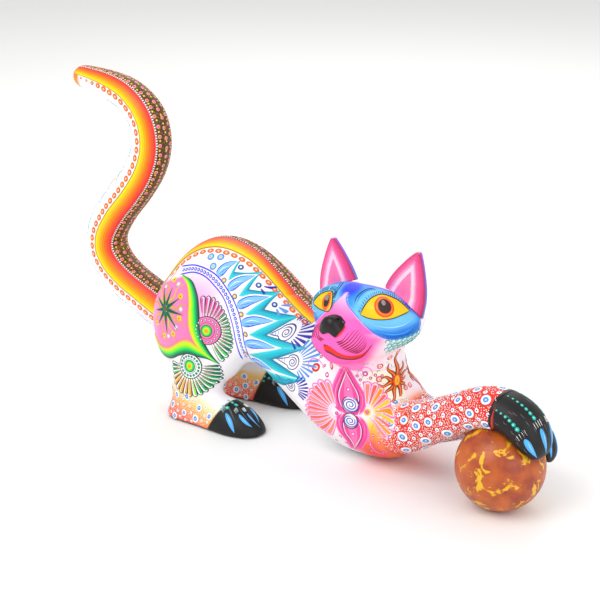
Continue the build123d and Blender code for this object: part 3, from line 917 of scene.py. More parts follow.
# the root face, the mouth of the dowel hole, its wall and its end
start = TAIL_SEAT + TAIL_AXIS * 0.3
bore = [start + circle[0] * r + TAIL_AXIS * deep for r,
    deep in ((15.2, 0.0), (11, 0.0), (6.4, 0.0), (6.08, 0.3), (6.08, 16.4), (3.0, 16.4))]
rings = np.concatenate([np.array(bore[::-1]), [start + circle[0] * 15.5 + TAIL_AXIS * 0.4],
    rings[1:]])
rows = len(rings)
tail_points = np.vstack([rings.reshape(-1, 3), start + TAIL_AXIS * 16.4,
    tail_line[-1] + ahead[-1] * 1.2])
tail_faces = [(i * AROUND + j, (i + 1) * AROUND + j, (i + 1) * AROUND + (j + 1) % AROUND,
    i * AROUND + (j + 1) % AROUND) for i in range(rows - 1) for j in range(AROUND)]
tail_faces += [(rows * AROUND, j, (j + 1) % AROUND) for j in range(AROUND)]
tail_faces += [(rows * AROUND + 1, (rows - 1) * AROUND + (j + 1) % AROUND,
    (rows - 1) * AROUND + j) for j in range(AROUND)]
tail_surface = BVHTree.FromPolygons(tail_points.tolist(), tail_faces)
tail = mesh_object("tail_branch", tail_points, tail_faces)
rgb = np.tile(linear("#F6F4F6")[:3], (len(tail_points), 1))
# The tail's white goes lilac grey lower down: painted shade.
rgb = blend(rgb, "#E3DCE8", 0.5 * edge(70 - tail_points[:, 2], 60))
rgb = blend(rgb, "#F98E1B", edge(-tail_points[:, 0] - 195, 4.0))
root = np.zeros(len(tail_points))
root[:AROUND * 6] = 1
root[rows * AROUND] = 1
rgb = blend(rgb, "#D8B98A", root)
paint_object(tail, tail_points, rgb)
tail.data.materials.append(painted_copal)
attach(tail, "tail")
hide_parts("tail")


def lane(line, radius, reach):
    """Rays for a grid along a line inside the wood and round it, measured from its top.

    They start some way out; reach gives how far at places along the line."""
    line = curve(line, step=1.0)
    length = np.concatenate([[0], np.cumsum(np.linalg.norm(np.diff(line, axis=0), axis=1))])
    ahead, top, side = frames(line)

    def rays(uv):

        def pick(rows):
            return np.column_stack([np.interp(uv[:, 0], length, rows[:, k]) for k in range(3)])

        angle = uv[:, 1:] / radius
        out_from = pick(top) * np.cos(angle) + pick(side) * np.sin(angle)
        return pick(line) + out_from * np.interp(uv[:, 0], *reach)[:, None], -out_from
    return rays, length[-1]


ACRYLICS.update({"brown": "#553722", "gold": "#C79A3C", "old_gold": "#B98A1E",
    "lemon": "#EFD81F", "rose": "#F2587C", "blush": "#FBC3A8", "warm_1": "#FFD90F",
    "warm_2": "#FFC400", "warm_3": "#FFA400", "warm_4": "#FF8600", "warm_5": "#FF6A0E",
    "warm_6": "#FB4B33", "warm_7": "#F23328", "cream": "#FFE7A6", "periwinkle": "#A9B4F0",
    "mint": "#9ADCC6"})
WARM = ["warm_1", "warm_2", "warm_3", "warm_4", "warm_5", "warm_6", "warm_7"]


def spine_band(brush, grid, start, end, gold_line, warm, seed, lift=0.0):
    """The brown, stippled band with warm stripes and rows of dots on both sides of it."""
    rng = np.random.default_rng(seed)
    s = np.arange(start, end, 1.3)
    near = gold_line(s)
    inner = near - warm
    far_inner = inner - 17.6
    far = far_inner - warm
    brush.strip(grid, np.column_stack([s, inner]), np.column_stack([s, far_inner]), "brown",
        0.12 + lift)
    for one, other, row in ((near, inner, 1), (far, far_inner, -1)):
        brush.strip(grid, np.column_stack([s, one]), np.column_stack([s, other]), WARM,
            0.16 + lift)
        brush.line(grid, np.column_stack([s, one + 0.3 * row])[::3], 0.8, "old_gold",
            (0.01, 0.01), 0.24 + lift)
        line = np.column_stack([s, other - 0.7 * row])
        brush.dot(grid, evenly(grid, line, 1.9, 1.0), 0.62, "white", 0.26 + lift, sides=8)
        at = evenly(grid, np.column_stack([s, one + 3.4 * row]), 6.3, 3.0)
        size = np.clip((end - at[:, 0]) / 30, 0.45, 1)
        brush.dot(grid, at, 1.95 * size, "warm_5", 0.14, stretch=1.35, sides=14)
        brush.dot(grid, at, 0.95 * size, "blush", 0.22, stretch=1.3, sides=10)
        brush.dot(grid, at, 0.45 * size, "cream", 0.3, sides=8)

    def middle(at):
        return np.interp(at, s, (inner + far_inner) / 2)

    for row, offset in enumerate((-5.6, 0.0, 5.6)):
        line = np.column_stack([s, middle(s) + offset])
        at = evenly(grid, line, 6.8, 2 + 3.4 * (row % 2))
        at = at + rng.uniform(-0.5, 0.5, at.shape)
        brush.dot(grid, at, 1.45, "blush", 0.2 + lift, sides=12)
        brush.dot(grid, at, 1.15, "rose", 0.28 + lift, sides=12)
        at = evenly(grid, line, 6.8, 5.4 + 3.4 * (row % 2))
        at = at + rng.uniform(-0.6, 0.6, at.shape)
        brush.dot(grid, at, 0.8, "lemon", 0.22 + lift, sides=9)
    count = int((end - start) * 17.6 / 1.25)
    at = np.column_stack([rng.uniform(start, end, count), rng.uniform(-8.2, 8.2, count)])
    at[:, 1] += middle(at[:, 0])
    brush.dot(grid, at, rng.uniform(0.16, 0.3, count), "gold", 0.16 + lift, 0.08, sides=5)


tail_brush = Brushwork("tail_brushwork")
tail_rays, tail_length = lane(tail_line[:-1], 14.8, ([0], [26]))
tail_grid = Grid(tail_surface, tail_rays)
spine_band(tail_brush, tail_grid, 0.8, tail_length - 3,
    lambda s: np.interp(s, [0, tail_length - 70, tail_length], [21.3, 21.3, 17.0]), 12.2, 5)
# small curls and tapering strokes underneath
rng = np.random.default_rng(8)
for k, at in enumerate(np.arange(14, tail_length - 40, 13.0)):
    ink = ("blue_light", "rose", "teal", "periwinkle")[k % 4]
    for side_of in (-1, 1):
        w = side_of * (33 + 4 * (k % 2))
        tail_brush.line(tail_grid, [(at, w), (at + 4, w + side_of * 1.5), (at + 9, w)], 1.1, ink,
            (0.2, 0.8))
        tail_brush.dot(tail_grid, [(at - 2, w), (at + 11.2, w + side_of)], 0.7, ink, sides=9)
    tail_brush.ring(tail_grid, (at + 5, 46.4), (2.2, 1.4, 0.6), (ink, "white", "warm_4"))
tail_brush.finish("tail")

# ---------------------------------------------------------------- ball and dowels
# A turned ball under the paw, ragged yellow over burnt orange, and plain copal dowels. Only
# the tail's shows, when the tail is pulled out.

# Ragged yellow clouds over burnt orange, so that the ball reads as sponged by hand.
material, tree, out = new_material("mottled_orange_ball")
place = add_node(tree, "ShaderNodeTexCoord")
cloud = add_node(tree, "ShaderNodeTexNoise",
    {"Vector": place.outputs["Object"], "Scale": 75.0, "Detail": 5.0})
blots = add_node(tree, "ShaderNodeTexNoise",
    {"Vector": place.outputs["Object"], "Scale": 100.0, "Detail": 6.0, "Roughness": 0.62,
    "Distortion": 0.8})
under = add_node(tree, "ShaderNodeValToRGB", {"Fac": cloud.outputs["Fac"]})
under.color_ramp.elements[0].position, under.color_ramp.elements[0].color = 0.36, linear(
    "#98391A")
under.color_ramp.elements[1].position, under.color_ramp.elements[1].color = 0.64, linear(
    "#C4601C")
share = add_node(tree, "ShaderNodeMapRange",
    {"Value": blots.outputs["Fac"], "From Min": 0.555, "From Max": 0.6})
coat = add_node(tree, "ShaderNodeMix", {"Factor": share.outputs[0]}, data_type="RGBA")
tree.links.new(under.outputs["Color"], coat.inputs["A"])
coat.inputs["B"].default_value = linear("#E9B115")
bump = add_node(tree, "ShaderNodeBump", {"Height": blots.outputs["Fac"], "Strength": 0.25,
    "Distance": 0.0004})
shader = add_node(tree, "ShaderNodeBsdfPrincipled",
    {"Base Color": coat.outputs["Result"], "Roughness": 0.38, "Normal": bump.outputs["Normal"]})
tree.links.new(shader.outputs[0], out.inputs[0])
ball_skin = Skin(*remeshed("ball_blank", *merged(["ball"], 0.0), 1.0))
ball = mesh_object("ball_mottled", ball_skin.points, ball_skin.quads)
ball.data.materials.append(material)
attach(ball, "figure")
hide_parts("ball")

# Unpainted copal: pale and dull with a fine grain, so that the dowels read as raw wood.
bare, tree, out = new_material("bare_copal")
place = add_node(tree, "ShaderNodeTexCoord")
grain = add_node(tree, "ShaderNodeTexNoise",
    {"Vector": place.outputs["Object"], "Scale": 400.0, "Detail": 4.0})
tone = add_node(tree, "ShaderNodeMix", {"Factor": grain.outputs["Fac"]}, data_type="RGBA")
tone.inputs["A"].default_value, tone.inputs["B"].default_value = linear("#C9A676"), linear(
    "#E2C79C")
shader = add_node(tree, "ShaderNodeBsdfPrincipled",
    {"Base Color": tone.outputs["Result"], "Roughness": 0.65})
tree.links.new(shader.outputs[0], out.inputs[0])
for name in HIDDEN_DOWELS + ["tail_dowel"]:
    nodes[name].data.materials.clear()
    nodes[name].data.materials.append(bare)

# ---------------------------------------------------------------- back
# The tail's band carries on over the rump and along the back, leaning a little to the
# cat's left, with a row of orange rings below it.

BACK_LINE = [(60, SPINE_Y, 38), (35, SPINE_Y, 44), (12, SPINE_Y, 52), (-10, SPINE_Y, 64),
    (-28, SPINE_Y, 77), (-44, SPINE_Y, 86), (-60, SPINE_Y, 86), (-74, SPINE_Y, 74),
    (-84, SPINE_Y, 58), (-90, SPINE_Y, 44)]
back_rays, back_length = lane(BACK_LINE, 33.0, ([20, 75], [33, 75]))
back_grid = Grid(figure_surface, back_rays)
torso_brush = Brushwork("torso_brushwork")


def back_gold(s):
    """Where the near gold line runs: it comes up towards the spine over the haunch."""
    from_root = back_length - s
    return np.interp(from_root, [0, 30, 42, 50, 56, 62, 70, 90, 160, 190],
        [21.3, 20.5, 17, 14, 11, 9.5, 8, 8, 8, 8])


spine_band(torso_brush, back_grid, 22, back_length - 15, back_gold, 11.5, 11, 0.35)

# ---------------------------------------------------------------- flanks
# A double blue arc rings the haunch. Behind it are a green-edged pink field with a star and
# two shell fans; ahead of it blue leaves, a teal starburst and navy spirals. The far flank
# carries the same design.

ACRYLICS.update({"ultramarine": "#3B36E6", "navy": "#28307F", "indigo": "#3327A8",
    "cornflower": "#5A97E0", "leaf_blue": "#7CC0F8", "teal_1": "#0A7F9C", "teal_2": "#0E9CB8",
    "teal_3": "#14B4C9", "teal_4": "#22C6D3", "teal_5": "#52D5DD", "amber": "#EFA02C",
    "tangerine": "#F7932C", "pine": "#1E4B42", "green_1": "#0C7F55", "green_2": "#12B455",
    "green_3": "#2ADF50", "green_4": "#86E81C", "green_5": "#C7E51B", "olive": "#A9B53A",
    "peach": "#F5A567", "pink": "#FF74B4", "light_pink": "#FBC6EA", "hot_pink": "#F0469B",
    "pearl": "#E8F0F2"})


def flat_rays(azimuth, centre=(0.0, 0.0, 0.0), far=False, start=120.0):
    """Rays for a flat grid facing a compass direction, or mirrored on to the far side."""
    a = radians(azimuth)
    right, outward = np.array([cos(a), sin(a), 0.0]), np.array([sin(a), -cos(a), 0.0])

    def rays(uv):
        origins = np.asarray(centre) + np.outer(uv[:, 0], right) + np.outer(uv[:, 1],
            (0, 0, 1)) + outward * start
        aims = np.tile(-outward, (len(uv), 1))
        if far:
            origins[:, 1] = 2 * SPINE_Y - origins[:, 1]
            aims[:, 1] *= -1
        return origins, aims
    return rays


def spiral(brush, grid, centre, radius, turns, width, ink, start=0.0, lift=0.22):
    """A spiral stroke from the middle outwards."""
    t = np.linspace(0.08, 1, int(turns * 10))
    angle = start + 360 * turns * t
    brush.line(grid, polar(centre, radius * t, angle), width, ink, (0.1, 0.1), lift)


def shell(brush, grid, centre, tips, inner, edge_ink, petal_inks, core_inks):
    """A fan of round-ended petals about a ringed centre."""
    centre = np.asarray(centre, float)
    tips = np.asarray(tips, float) - centre
    angles = np.degrees(np.unwrap(np.arctan2(tips[:, 1], tips[:, 0])))
    lengths = np.linalg.norm(tips, axis=1)
    count = len(petal_inks)
    at = np.linspace(angles[0], angles[-1], count)
    reach = np.interp(at, np.sort(angles), lengths[np.argsort(angles)])
    gap = abs(at[1] - at[0])

    def broad(t):
        return np.clip(0.35 + 0.65 * t, 0, 1) * np.sqrt(
            np.clip(1 - ((t - 0.86) / 0.14).clip(0) ** 2, 0.02, 1))

    for angle, length, ink in zip(at, reach, petal_inks):
        wide = 2 * length * sin(radians(gap / 2)) * 1.04
        body = [polar(centre, r, angle)[0] for r in (inner * 0.95, (inner + length) / 2, length)]
        rim = [polar(centre, r, angle)[0] for r in (inner * 0.95, (inner + length) / 2,
            length - 0.6)]
        brush.line(grid, body, wide, edge_ink, shape=broad, lift=0.22)
        brush.line(grid, rim, wide - 1.05, {"hot_pink": "light_pink", "amber": "cream"}.get(ink,
            "white"), shape=broad, lift=0.3)
        stem = [polar(centre, inner + (length - inner) * q, angle + 1.5)[0]
            for q in (0.18, 0.5, 0.88)]
        brush.line(grid, stem, wide * 0.46, ink, shape=lambda t: 0.25 + 0.75 * t, lift=0.38)
        stem = [polar(centre, inner + (length - inner) * q, angle - gap * 0.2)[0]
            for q in (0.1, 0.4, 0.62)]
        brush.line(grid, stem, 0.4, "peach", (0.2, 0.6), lift=0.4)
    brush.disc(grid, centre, inner + 0.6, edge_ink, 0.44)
    brush.disc(grid, centre, inner, core_inks[0], 0.5)
    brush.disc(grid, centre, inner * 0.62, edge_ink, 0.54)
    brush.disc(grid, centre, inner * 0.58, core_inks[0], 0.58)
    beads = np.arange(0, 360, 360 / 18)
    brush.dot(grid, polar(centre, inner * 0.8, beads), 0.95, "pine", 0.6, sides=9)
    brush.dot(grid, polar(centre, inner * 0.8, beads), 0.6, core_inks[1], 0.68, sides=8)
    for k, (r, ink) in enumerate(((4.4, "green_1"), (3.6, "green_3"), (2.5, "green_5"),
            (1.4, "amber"))):
        brush.disc(grid, centre, r, ink, 0.6 + 0.05 * k)


ARC_OUT = [(-86, 106), (-73, 110), (-61, 110), (-51, 107.5), (-42, 102), (-34, 95), (-28, 87),
    (-24.5, 78), (-23.5, 69), (-23.5, 60), (-24.5, 51)]
ARC_IN = [(-83, 102), (-71, 106), (-60, 105.5), (-50, 101), (-41.5, 95), (-36, 87), (-32, 77),
    (-31, 67), (-31, 58), (-31.5, 50)]
for far in (False, True):
    flank = Grid(figure_surface, flat_rays(0, far=far))
    outer, inner = curve(ARC_OUT), curve(ARC_IN)
    torso_brush.line(flank, outer, 0.95, "ultramarine", (0.02, 0.02))
    torso_brush.line(flank, inner, 0.95, "ultramarine", (0.02, 0.02))
    t = np.linspace(0.03, 0.97, 32)

    def walk(l, q):
        return np.column_stack([np.interp(q, np.linspace(0, 1, len(l)), l[:, k]) for k in (0, 1)])

    beads = (walk(outer, t) + walk(inner, t)) / 2
    torso_brush.ring(flank, beads, (1.35, 0.95, 0.5), ("ultramarine", "cornflower", "white"),
        sides=10)

    # leaves, gold dots and the teal starburst
    bases = [(-50.5, 107.5), (-39.5, 100.5), (-30, 91), (-25, 80.5), (-23, 66), (-23.5, 51)]
    leaf_tips = [(-42, 116.5), (-27.5, 109), (-13.5, 97.5), (-4, 84.5), (3, 69), (0, 53)]
    dots = [(-44, 105.5), (-33, 97), (-25.5, 86.5), (-21, 73.5), (-25, 57)]
    tips = [(-41, 118), (-26, 110.5), (-10.5, 99.5), (7, 86.5), (23.5, 71.5), (28, 53)]
    valleys = [(-40, 111), (-26, 102), (-12, 91), (-5, 76), (2, 61)]
    for k in range(5):
        a, b = np.array(tips[k], float), np.array(tips[k + 1], float)
        apex, valley = np.array(dots[k], float) + (2.2, 0.4), np.array(valleys[k], float)
        leaf_a, leaf_b = np.array(leaf_tips[k], float), np.array(leaf_tips[k + 1], float)
        torso_brush.strip(flank, [a, a * 0.6 + valley * 0.4, a * 0.3 + valley * 0.7, valley,
            b * 0.3 + valley * 0.7, b * 0.6 + valley * 0.4, b],
            [a, leaf_a + (a - leaf_a) * 0.2, leaf_a * 0.5 + apex * 0.5, apex,
            leaf_b * 0.5 + apex * 0.5, leaf_b + (b - leaf_b) * 0.2, b],
            ["teal_1", "teal_2", "teal_3", "teal_3", "teal_4", "teal_4", "teal_5"], 0.14)
    torso_brush.strip(flank, [(28, 53), (10, 44), (-8, 41), (-24, 43)],
        [(28, 53), (12, 52), (-2, 50), (-22, 47)],
        ["teal_1", "teal_2", "teal_3", "teal_3", "teal_4", "teal_5"], 0.14)

    def belly(t):
        return np.sin(np.pi * np.clip(t, 0, 1) ** 0.55) ** 0.9 + 0.03

    for base, tip in zip(bases, leaf_tips):
        base, tip = np.array(base), np.array(tip)
        bend = (base + tip) / 2 + (-0.8, 1.2)
        torso_brush.line(flank, [base, bend, tip + (tip - bend) * 0.1], 8.6, "white",
            shape=belly, lift=0.2)
        torso_brush.line(flank, [base, bend, tip], 7.0, "ultramarine", shape=belly, lift=0.26)
        torso_brush.line(flank, [base, bend, tip], 5.6, "leaf_blue", shape=belly, lift=0.33)
        for side_of, ink in ((-1, "ultramarine"), (1, "white"), (0, "ultramarine")):
            sideways = np.array([-(tip - base)[1], (tip - base)[0]]) / np.linalg.norm(tip - base)
            start = base + (tip - base) * 0.12
            end = base + (tip - base) * 0.62
            torso_brush.line(flank, [start + sideways * side_of * 0.8,
                (start + end) / 2 + sideways * side_of * 1.9, end + sideways * side_of * 0.5],
                0.75, ink, (0.4, 0.5), 0.42)
    torso_brush.ring(flank, [(u - 0.5, v) for u, v in dots], (2.0, 1.6, 0.8),
        ("teal_1", "amber", "cream"))

    # rings, spirals and fans of dashes in the white gaps
    for at in ((-62, 117), (-54.5, 117.8), (-56.5, 112.3)):
        torso_brush.ring(flank, at, (2.7, 2.1, 1.5, 0.9),
            ("cornflower", "leaf_blue", "pale_blue", "amber"))
    for at in ((-38, 113.5), (-22.5, 104), (-8.5, 93.3)):
        torso_brush.ring(flank, at, (2.1, 1.5, 0.8), ("navy", "cornflower", "white"))
    def rays_of(centre, first, last, count, near_by, reach, ink, width=1.15):
        for q, angle in zip(np.linspace(0, 1, count), np.linspace(first, last, count)):
            length = near_by + (reach - near_by) * (0.55 + 0.45 * sin(pi * (q * 0.8 + 0.1)))
            torso_brush.line(flank, [polar(centre, near_by, angle)[0],
                polar(centre, length, angle)[0]], width, ink,
                shape=lambda t: 0.35 + 0.65 * np.clip(t * 1.3, 0, 1), lift=0.3)
    rays_of((-22.5, 104), 75, -40, 6, 3.2, 9.5, "indigo", 1.2)
    rays_of((-8.5, 93.3), 75, -45, 8, 3.4, 11, "cornflower", 1.3)
    rays_of((7, 78.5), 85, -42, 12, 6.2, 15.5, "indigo", 1.5)
    rays_of((18, 62.5), 75, -52, 11, 6.2, 16.5, "cornflower", 1.6)
    rays_of((19, 45), 62, -30, 9, 5.6, 14, "indigo", 1.3)
    for centre, radius, point in (((6.2, 78.5), 4.6, (-3.6, 76.8)),
            ((17, 62.3), 4.6, (4.5, 62.3)), ((17, 46.5), 4.2, (3.5, 51))):
        centre = np.array(centre)
        spiral(torso_brush, flank, centre, radius * 0.72, 2.4, 0.65, "navy")
        hood = polar(centre, radius, np.linspace(150, -150, 22))
        torso_brush.line(flank, np.vstack([[point], hood, [point]]), 0.75, "navy", (0.05, 0.05))
        for k in (1, 2, 3):
            q = np.array(point) + (centre - point) * (0.16 * k)
            torso_brush.line(flank, [q + (0, 0.55 * k), q + (0.8, 0), q - (0, 0.55 * k)], 0.5,
                "cornflower", (0.3, 0.3))

    # the pink field and its green border
    edge_in = curve([(-80, 101.5), (-74, 99.5), (-69, 94.5), (-66, 87), (-65, 78), (-63.2, 69),
        (-59, 61), (-52, 53), (-44, 48)])
    edge_out = curve([(-79, 102.5), (-69, 101), (-61, 94), (-57, 85), (-55, 75.5), (-53, 66.5),
        (-49.5, 59), (-46, 52.5), (-43, 47.5)])
    t = np.linspace(0, 1, 60)
    torso_brush.strip(flank, walk(edge_in, t), walk(edge_out, t),
        ["peach", "green_5", "green_5", "green_4", "green_3", "green_2", "green_1", "pine"], 0.62)
    low_in = curve([(-46, 50), (-56, 58.5), (-63.5, 62.5), (-70, 61), (-76, 57), (-85, 51.5),
        (-96, 50), (-103, 56)])
    low_out = curve([(-43, 47.5), (-50, 50.5), (-57, 51), (-65, 51.5), (-73, 48.5), (-82, 43.5),
        (-92, 41.5), (-103, 44)])
    torso_brush.strip(flank, walk(low_in, t), walk(low_out, t),
        ["peach", "green_5", "green_5", "green_4", "green_3", "green_2", "green_1", "pine"], 0.66)

    # the star: dark spikes with wavy olive rays between them
    star = np.array((-87.0, 79.0))
    for k, angle in enumerate(np.arange(0, 360, 40.0)):
        length = (18, 16, 15, 14, 13, 13, 14, 17, 18)[k]
        torso_brush.line(flank, [star, polar(star, length * 0.5, angle)[0],
            polar(star, length, angle)[0]], 4.0, ["green_1", "pine", "pine", "green_1"],
            shape=lambda t: 1.02 - t, lift=0.34)
        waves = [polar(star, r, angle + 20 + bend)[0] for r,
            bend in ((3, 0), (7, 6), (12, -5), (17, 4), (23, -3))]
        torso_brush.line(flank, waves, 1.6, "tangerine", (0.05, 0.7), 0.22)
        torso_brush.line(flank, waves, 0.95, "green_4" if k % 2 else "olive", (0.05, 0.7), 0.29)
    torso_brush.ring(flank, star, (4.6, 3.6, 2.7, 1.3),
        ("pine", "green_4", "green_5", "dark_red"), stretch=1.2, along=pi / 2, sides=20)
    torso_brush.ring(flank, [(-74.5, 90.5), (-72.5, 76), (-78, 63.5), (-88, 59.5), (-86, 98),
        (-97, 66)], (2.2, 1.5, 0.7), ("lemon", "warm_2", "dark_red"))
    torso_brush.ring(flank, [(-72, 82.5), (-75, 69), (-83, 60.5), (-80, 97), (-93, 92)],
        (1.8, 1.3), ("mint", "pearl"))

    greens = ["hot_pink"] * 6 + ["green_2", "green_1", "green_2", "green_1", "green_3",
        "green_2"] * 2
    shell(torso_brush, flank, (-50, 71.5), [(-57, 94), (-49.5, 94.5), (-42.5, 90), (-36.5, 83),
        (-33.5, 73), (-34, 61), (-40.5, 49.5)], 9.4, "pine", greens, ("pink", "pearl"))
    fan_inks = ["green_1"] * 3 + ["green_2"] * 5 + ["green_4", "amber", "tangerine", "amber",
        "tangerine", "amber", "tangerine", "green_3", "green_2", "green_1"]
    shell(torso_brush, flank, (-63, 43.5), [(-42.5, 45), (-44, 36), (-47.5, 30.5), (-52, 25),
        (-59, 21), (-65, 20.5), (-72, 22), (-77.5, 26.5), (-79, 33), (-81.5, 41)], 8.6, "pine",
        fan_inks, ("pearl", "green_2"))
torso_brush.finish("figure")

# ---------------------------------------------------------------- chest and neck
# Two pink teardrops with violet spirals, shell fans either side, small rings and a sun
# with flame-like rays at the root of the neck.

ACRYLICS.update({"violet": "#5F45B4", "coral": "#F4665A", "salmon": "#F58A78",
    "rose_pink": "#F0489E", "blossom": "#F678C4", "shell_pink": "#FCD9EC", "plum": "#8B2A5E",
    "sunflower": "#FBC531", "flame": "#DE4B22", "smoke": "#A9A2A6", "old_rose": "#C8458F"})
chest_brush = Brushwork("chest_brushwork")
for far in (False, True):
    chest = Grid(figure_surface, flat_rays(45, (70.0, -30.0, 42.0), far=far))
    for outline, core in (([(-4, 29), (-6.6, 20), (-9.6, 8), (-8.5, 0.5), (-4.6, -3.2)],
            [(-4, 29), (0.5, 21), (5.6, 12), (6.6, 5), (3.4, -2.4)]),
            ([(-5.0, -3.4), (-7.6, -9), (-5.6, -17), (-0.5, -24), (3, -32)],
            [(3.6, -3.2), (7.2, -9), (7.6, -17), (6, -24), (4.4, -32)])):
        left_edge, right_edge = curve(outline, step=1.0), curve(core, step=1.0)
        t = np.linspace(0, 1, 40)
        chest_brush.strip(chest, walk(left_edge, t), walk(right_edge, t),
            ["rose_pink", "rose_pink", "pink", "pink", "rose_pink", "rose_pink"], 0.16)
        for row, sign in ((left_edge, -1), (right_edge, 1)):
            chest_brush.line(chest, row + (sign * 0.8, 0), 1.5, "rose_pink", (0.1, 0.1), 0.2)
            chest_brush.line(chest, row + (sign * 1.9, 0), 0.9, "blossom", (0.1, 0.1), 0.22)
            inner_row = (row - row.mean(axis=0)) * (0.78, 0.86) + row.mean(axis=0) - (sign * 1.1,
                0)
            chest_brush.line(chest, inner_row, 0.9, "plum", (0.2, 0.2), 0.26)
            chest_brush.line(chest, inner_row - (sign * 0.7, 0), 0.7, "pearl", (0.2, 0.2), 0.3)
    for centre, radius in (((-0.6, 3.4), 6.2), ((-0.8, -7.2), 5.6)):
        chest_brush.dot(chest, centre, radius, "plum", 0.34, sides=26)
        chest_brush.dot(chest, centre, radius - 0.6, "pearl", 0.42, sides=26)
        spiral(chest_brush, chest, centre, radius - 1.1, 3.2, 1.0, "violet", lift=0.66)
    chest_brush.ring(chest, [(-2.0, 13.5), (1.0, -16.5)], (2.0, 1.4, 0.7),
        ("old_rose", "blossom", "white"))

    def fan(centre, tips, inks, inner=3.6):
        """Round-ended strokes fanned about a centre, each with a pale border."""
        tips = np.array(tips, float) - centre
        angles = np.degrees(np.unwrap(np.arctan2(tips[:, 1], tips[:, 0])))
        at = np.linspace(angles[0], angles[-1], len(inks))
        reach = np.interp(at, np.sort(angles), np.linalg.norm(tips, axis=1)[np.argsort(angles)])
        wide = 2 * sin(radians(abs(at[1] - at[0]) / 2))

        def broad(t):
            return np.clip(0.3 + 0.75 * t, 0, 1) * np.sqrt(
                np.clip(1 - ((t - 0.84) / 0.16).clip(0) ** 2, 0.02, 1))

        for angle, length, ink in zip(at, reach, inks):
            ends = [polar(centre, inner, angle)[0],
                polar(centre, (inner + length) / 2, angle)[0], polar(centre, length, angle)[0]]
            inset = ends[:2] + [polar(centre, length - 0.7, angle)[0]]
            chest_brush.line(chest, ends, wide * length * 1.06, "blossom", shape=broad, lift=0.2)
            chest_brush.line(chest, inset, wide * length * 1.06 - 1.3,
                "shell_pink" if ink in ("coral", "salmon") else "cream", shape=broad, lift=0.28)
            stem = [polar(centre, inner + (length - inner) * q, angle)[0]
                for q in (0.12, 0.5, 0.88)]
            chest_brush.line(chest, stem, wide * length * 0.5, ink,
                shape=lambda t: np.clip(0.25 + t, 0, 1), lift=0.36)
    fan((-8.6, -3.6), [(-14, 15), (-20, 13.4), (-25, 6.4), (-26.5, -2.8), (-26, -13.6),
        (-19, -23), (-13, -25)], ["salmon", "coral", "coral", "coral", "salmon", "coral",
        "coral", "salmon", "coral", "salmon", "coral", "salmon"])
    fan((9.2, -0.1), [(9.6, 21), (16.7, 19.4), (22, 12.4), (25.4, 4.8), (24.5, -4),
        (20.5, -13.5)], ["salmon", "coral", "tangerine", "coral", "sunflower", "tangerine",
        "sunflower", "coral", "tangerine", "salmon"])
    chest_brush.ring(chest, (9.2, 0.2), (2.3, 1.5, 0.8), ("sunflower", "old_rose", "blossom"))
    chest_brush.ring(chest, (-8.9, -4.6), (1.5, 0.9), ("old_rose", "blossom"))
    chest_brush.ring(chest, [(-20, 20), (-11, 24.5)], (3.0, 1.6, 0.8), ("red", "pearl", "smoke"))
    chest_brush.ring(chest, [(8, 26), (-13.5, 17.5), (-12.5, 12)], (1.9, 1.3, 0.8),
        ("old_rose", "blossom", "pearl"))
    chest_brush.line(chest, polar((8, 26), 4.6, np.linspace(200, -20, 14)), 0.7, "blossom")
    chest_brush.line(chest, polar((-20, 20), 4.6, np.linspace(220, 0, 14)), 0.7, "blossom")
    chest_brush.ring(chest, [(3, 24), (5, 21.5), (11.5, 23), (14.5, 25), (-14.5, 22), (-16, 26),
        (19, 24), (7.5, 19.5)], (1.15, 0.5), ("old_rose", "pearl"))
    chest_brush.line(chest, [(9.5, -9), (11, -20), (15, -28), (21, -31)], 1.1, "blossom")
    chest_brush.line(chest, [(21, -31), (23, -27), (20, -25), (18.5, -28)], 0.8, "rose_pink")
    chest_brush.ring(chest, [(12.5, -14), (16, -18), (11.5, -22), (13, -28), (20, -28),
        (-6, -22), (-2, -27), (-7.5, -28)], (1.2, 0.6), ("old_rose", "white"))
    rng = np.random.default_rng(21)
    at = rng.uniform((-28, 18), (30, 34), (70, 2))
    chest_brush.dot(chest, at, 0.35, "smoke", stretch=1.6, along=rng.uniform(0, 3, 70), sides=5)
    # the sun
    sun = np.array((29.5 - 6 * far, 18.5))
    reaches = (21, 12, 9, 7, 9, 15, 14, 13, 13, 12, 15)
    for k, (angle, reach) in enumerate(zip(np.linspace(92, 92 - 330, len(reaches)), reaches)):
        bend = 9 if k % 2 else -9
        path = [sun, polar(sun, reach * 0.4, angle + bend * 0.6)[0],
            polar(sun, reach * 0.75, angle - bend * 0.4)[0], polar(sun, reach, angle + bend)[0]]
        chest_brush.line(chest, path, 4.2, ["umber", "flame", "tangerine", "flame", "umber"],
            shape=lambda t: (1.03 - t) ** 0.8, lift=0.22)
    chest_brush.dot(chest, sun, 4.2, "flame", 0.26, stretch=1.25, along=pi / 2, sides=22)
    chest_brush.dot(chest, sun, 2.9, "tangerine", 0.34, stretch=1.5, along=pi / 2, sides=20)
    chest_brush.dot(chest, sun, 2.2, "sunflower", 0.42, stretch=1.6, along=pi / 2, sides=20)
    chest_brush.dot(chest, sun, 1.0, "tangerine", 0.5, stretch=1.8, along=pi / 2, sides=14)
    chest_brush.ring(chest, [(17.5, 31), (17, 22), (19, 10.5), (33, 3.5), (36, 12), (24, 36),
        (30, 38)], (2.2, 1.3, 0.7), ("coral", "pearl", "smoke"))
chest_brush.finish("figure")

# ---------------------------------------------------------------- forelegs
# Red, closely stippled with short white dashes that swirl round white-haloed blue ovals.
# The paws are black, with rows of turquoise dots, white hair strokes and blue claws.

ACRYLICS.update({"azure": "#3F97E6", "pale_peach": "#E9CFC8", "purple": "#4A2FA6",
    "turquoise": "#19B5A8", "pale_teal": "#A5EDE2", "claw_blue": "#4FADF5"})


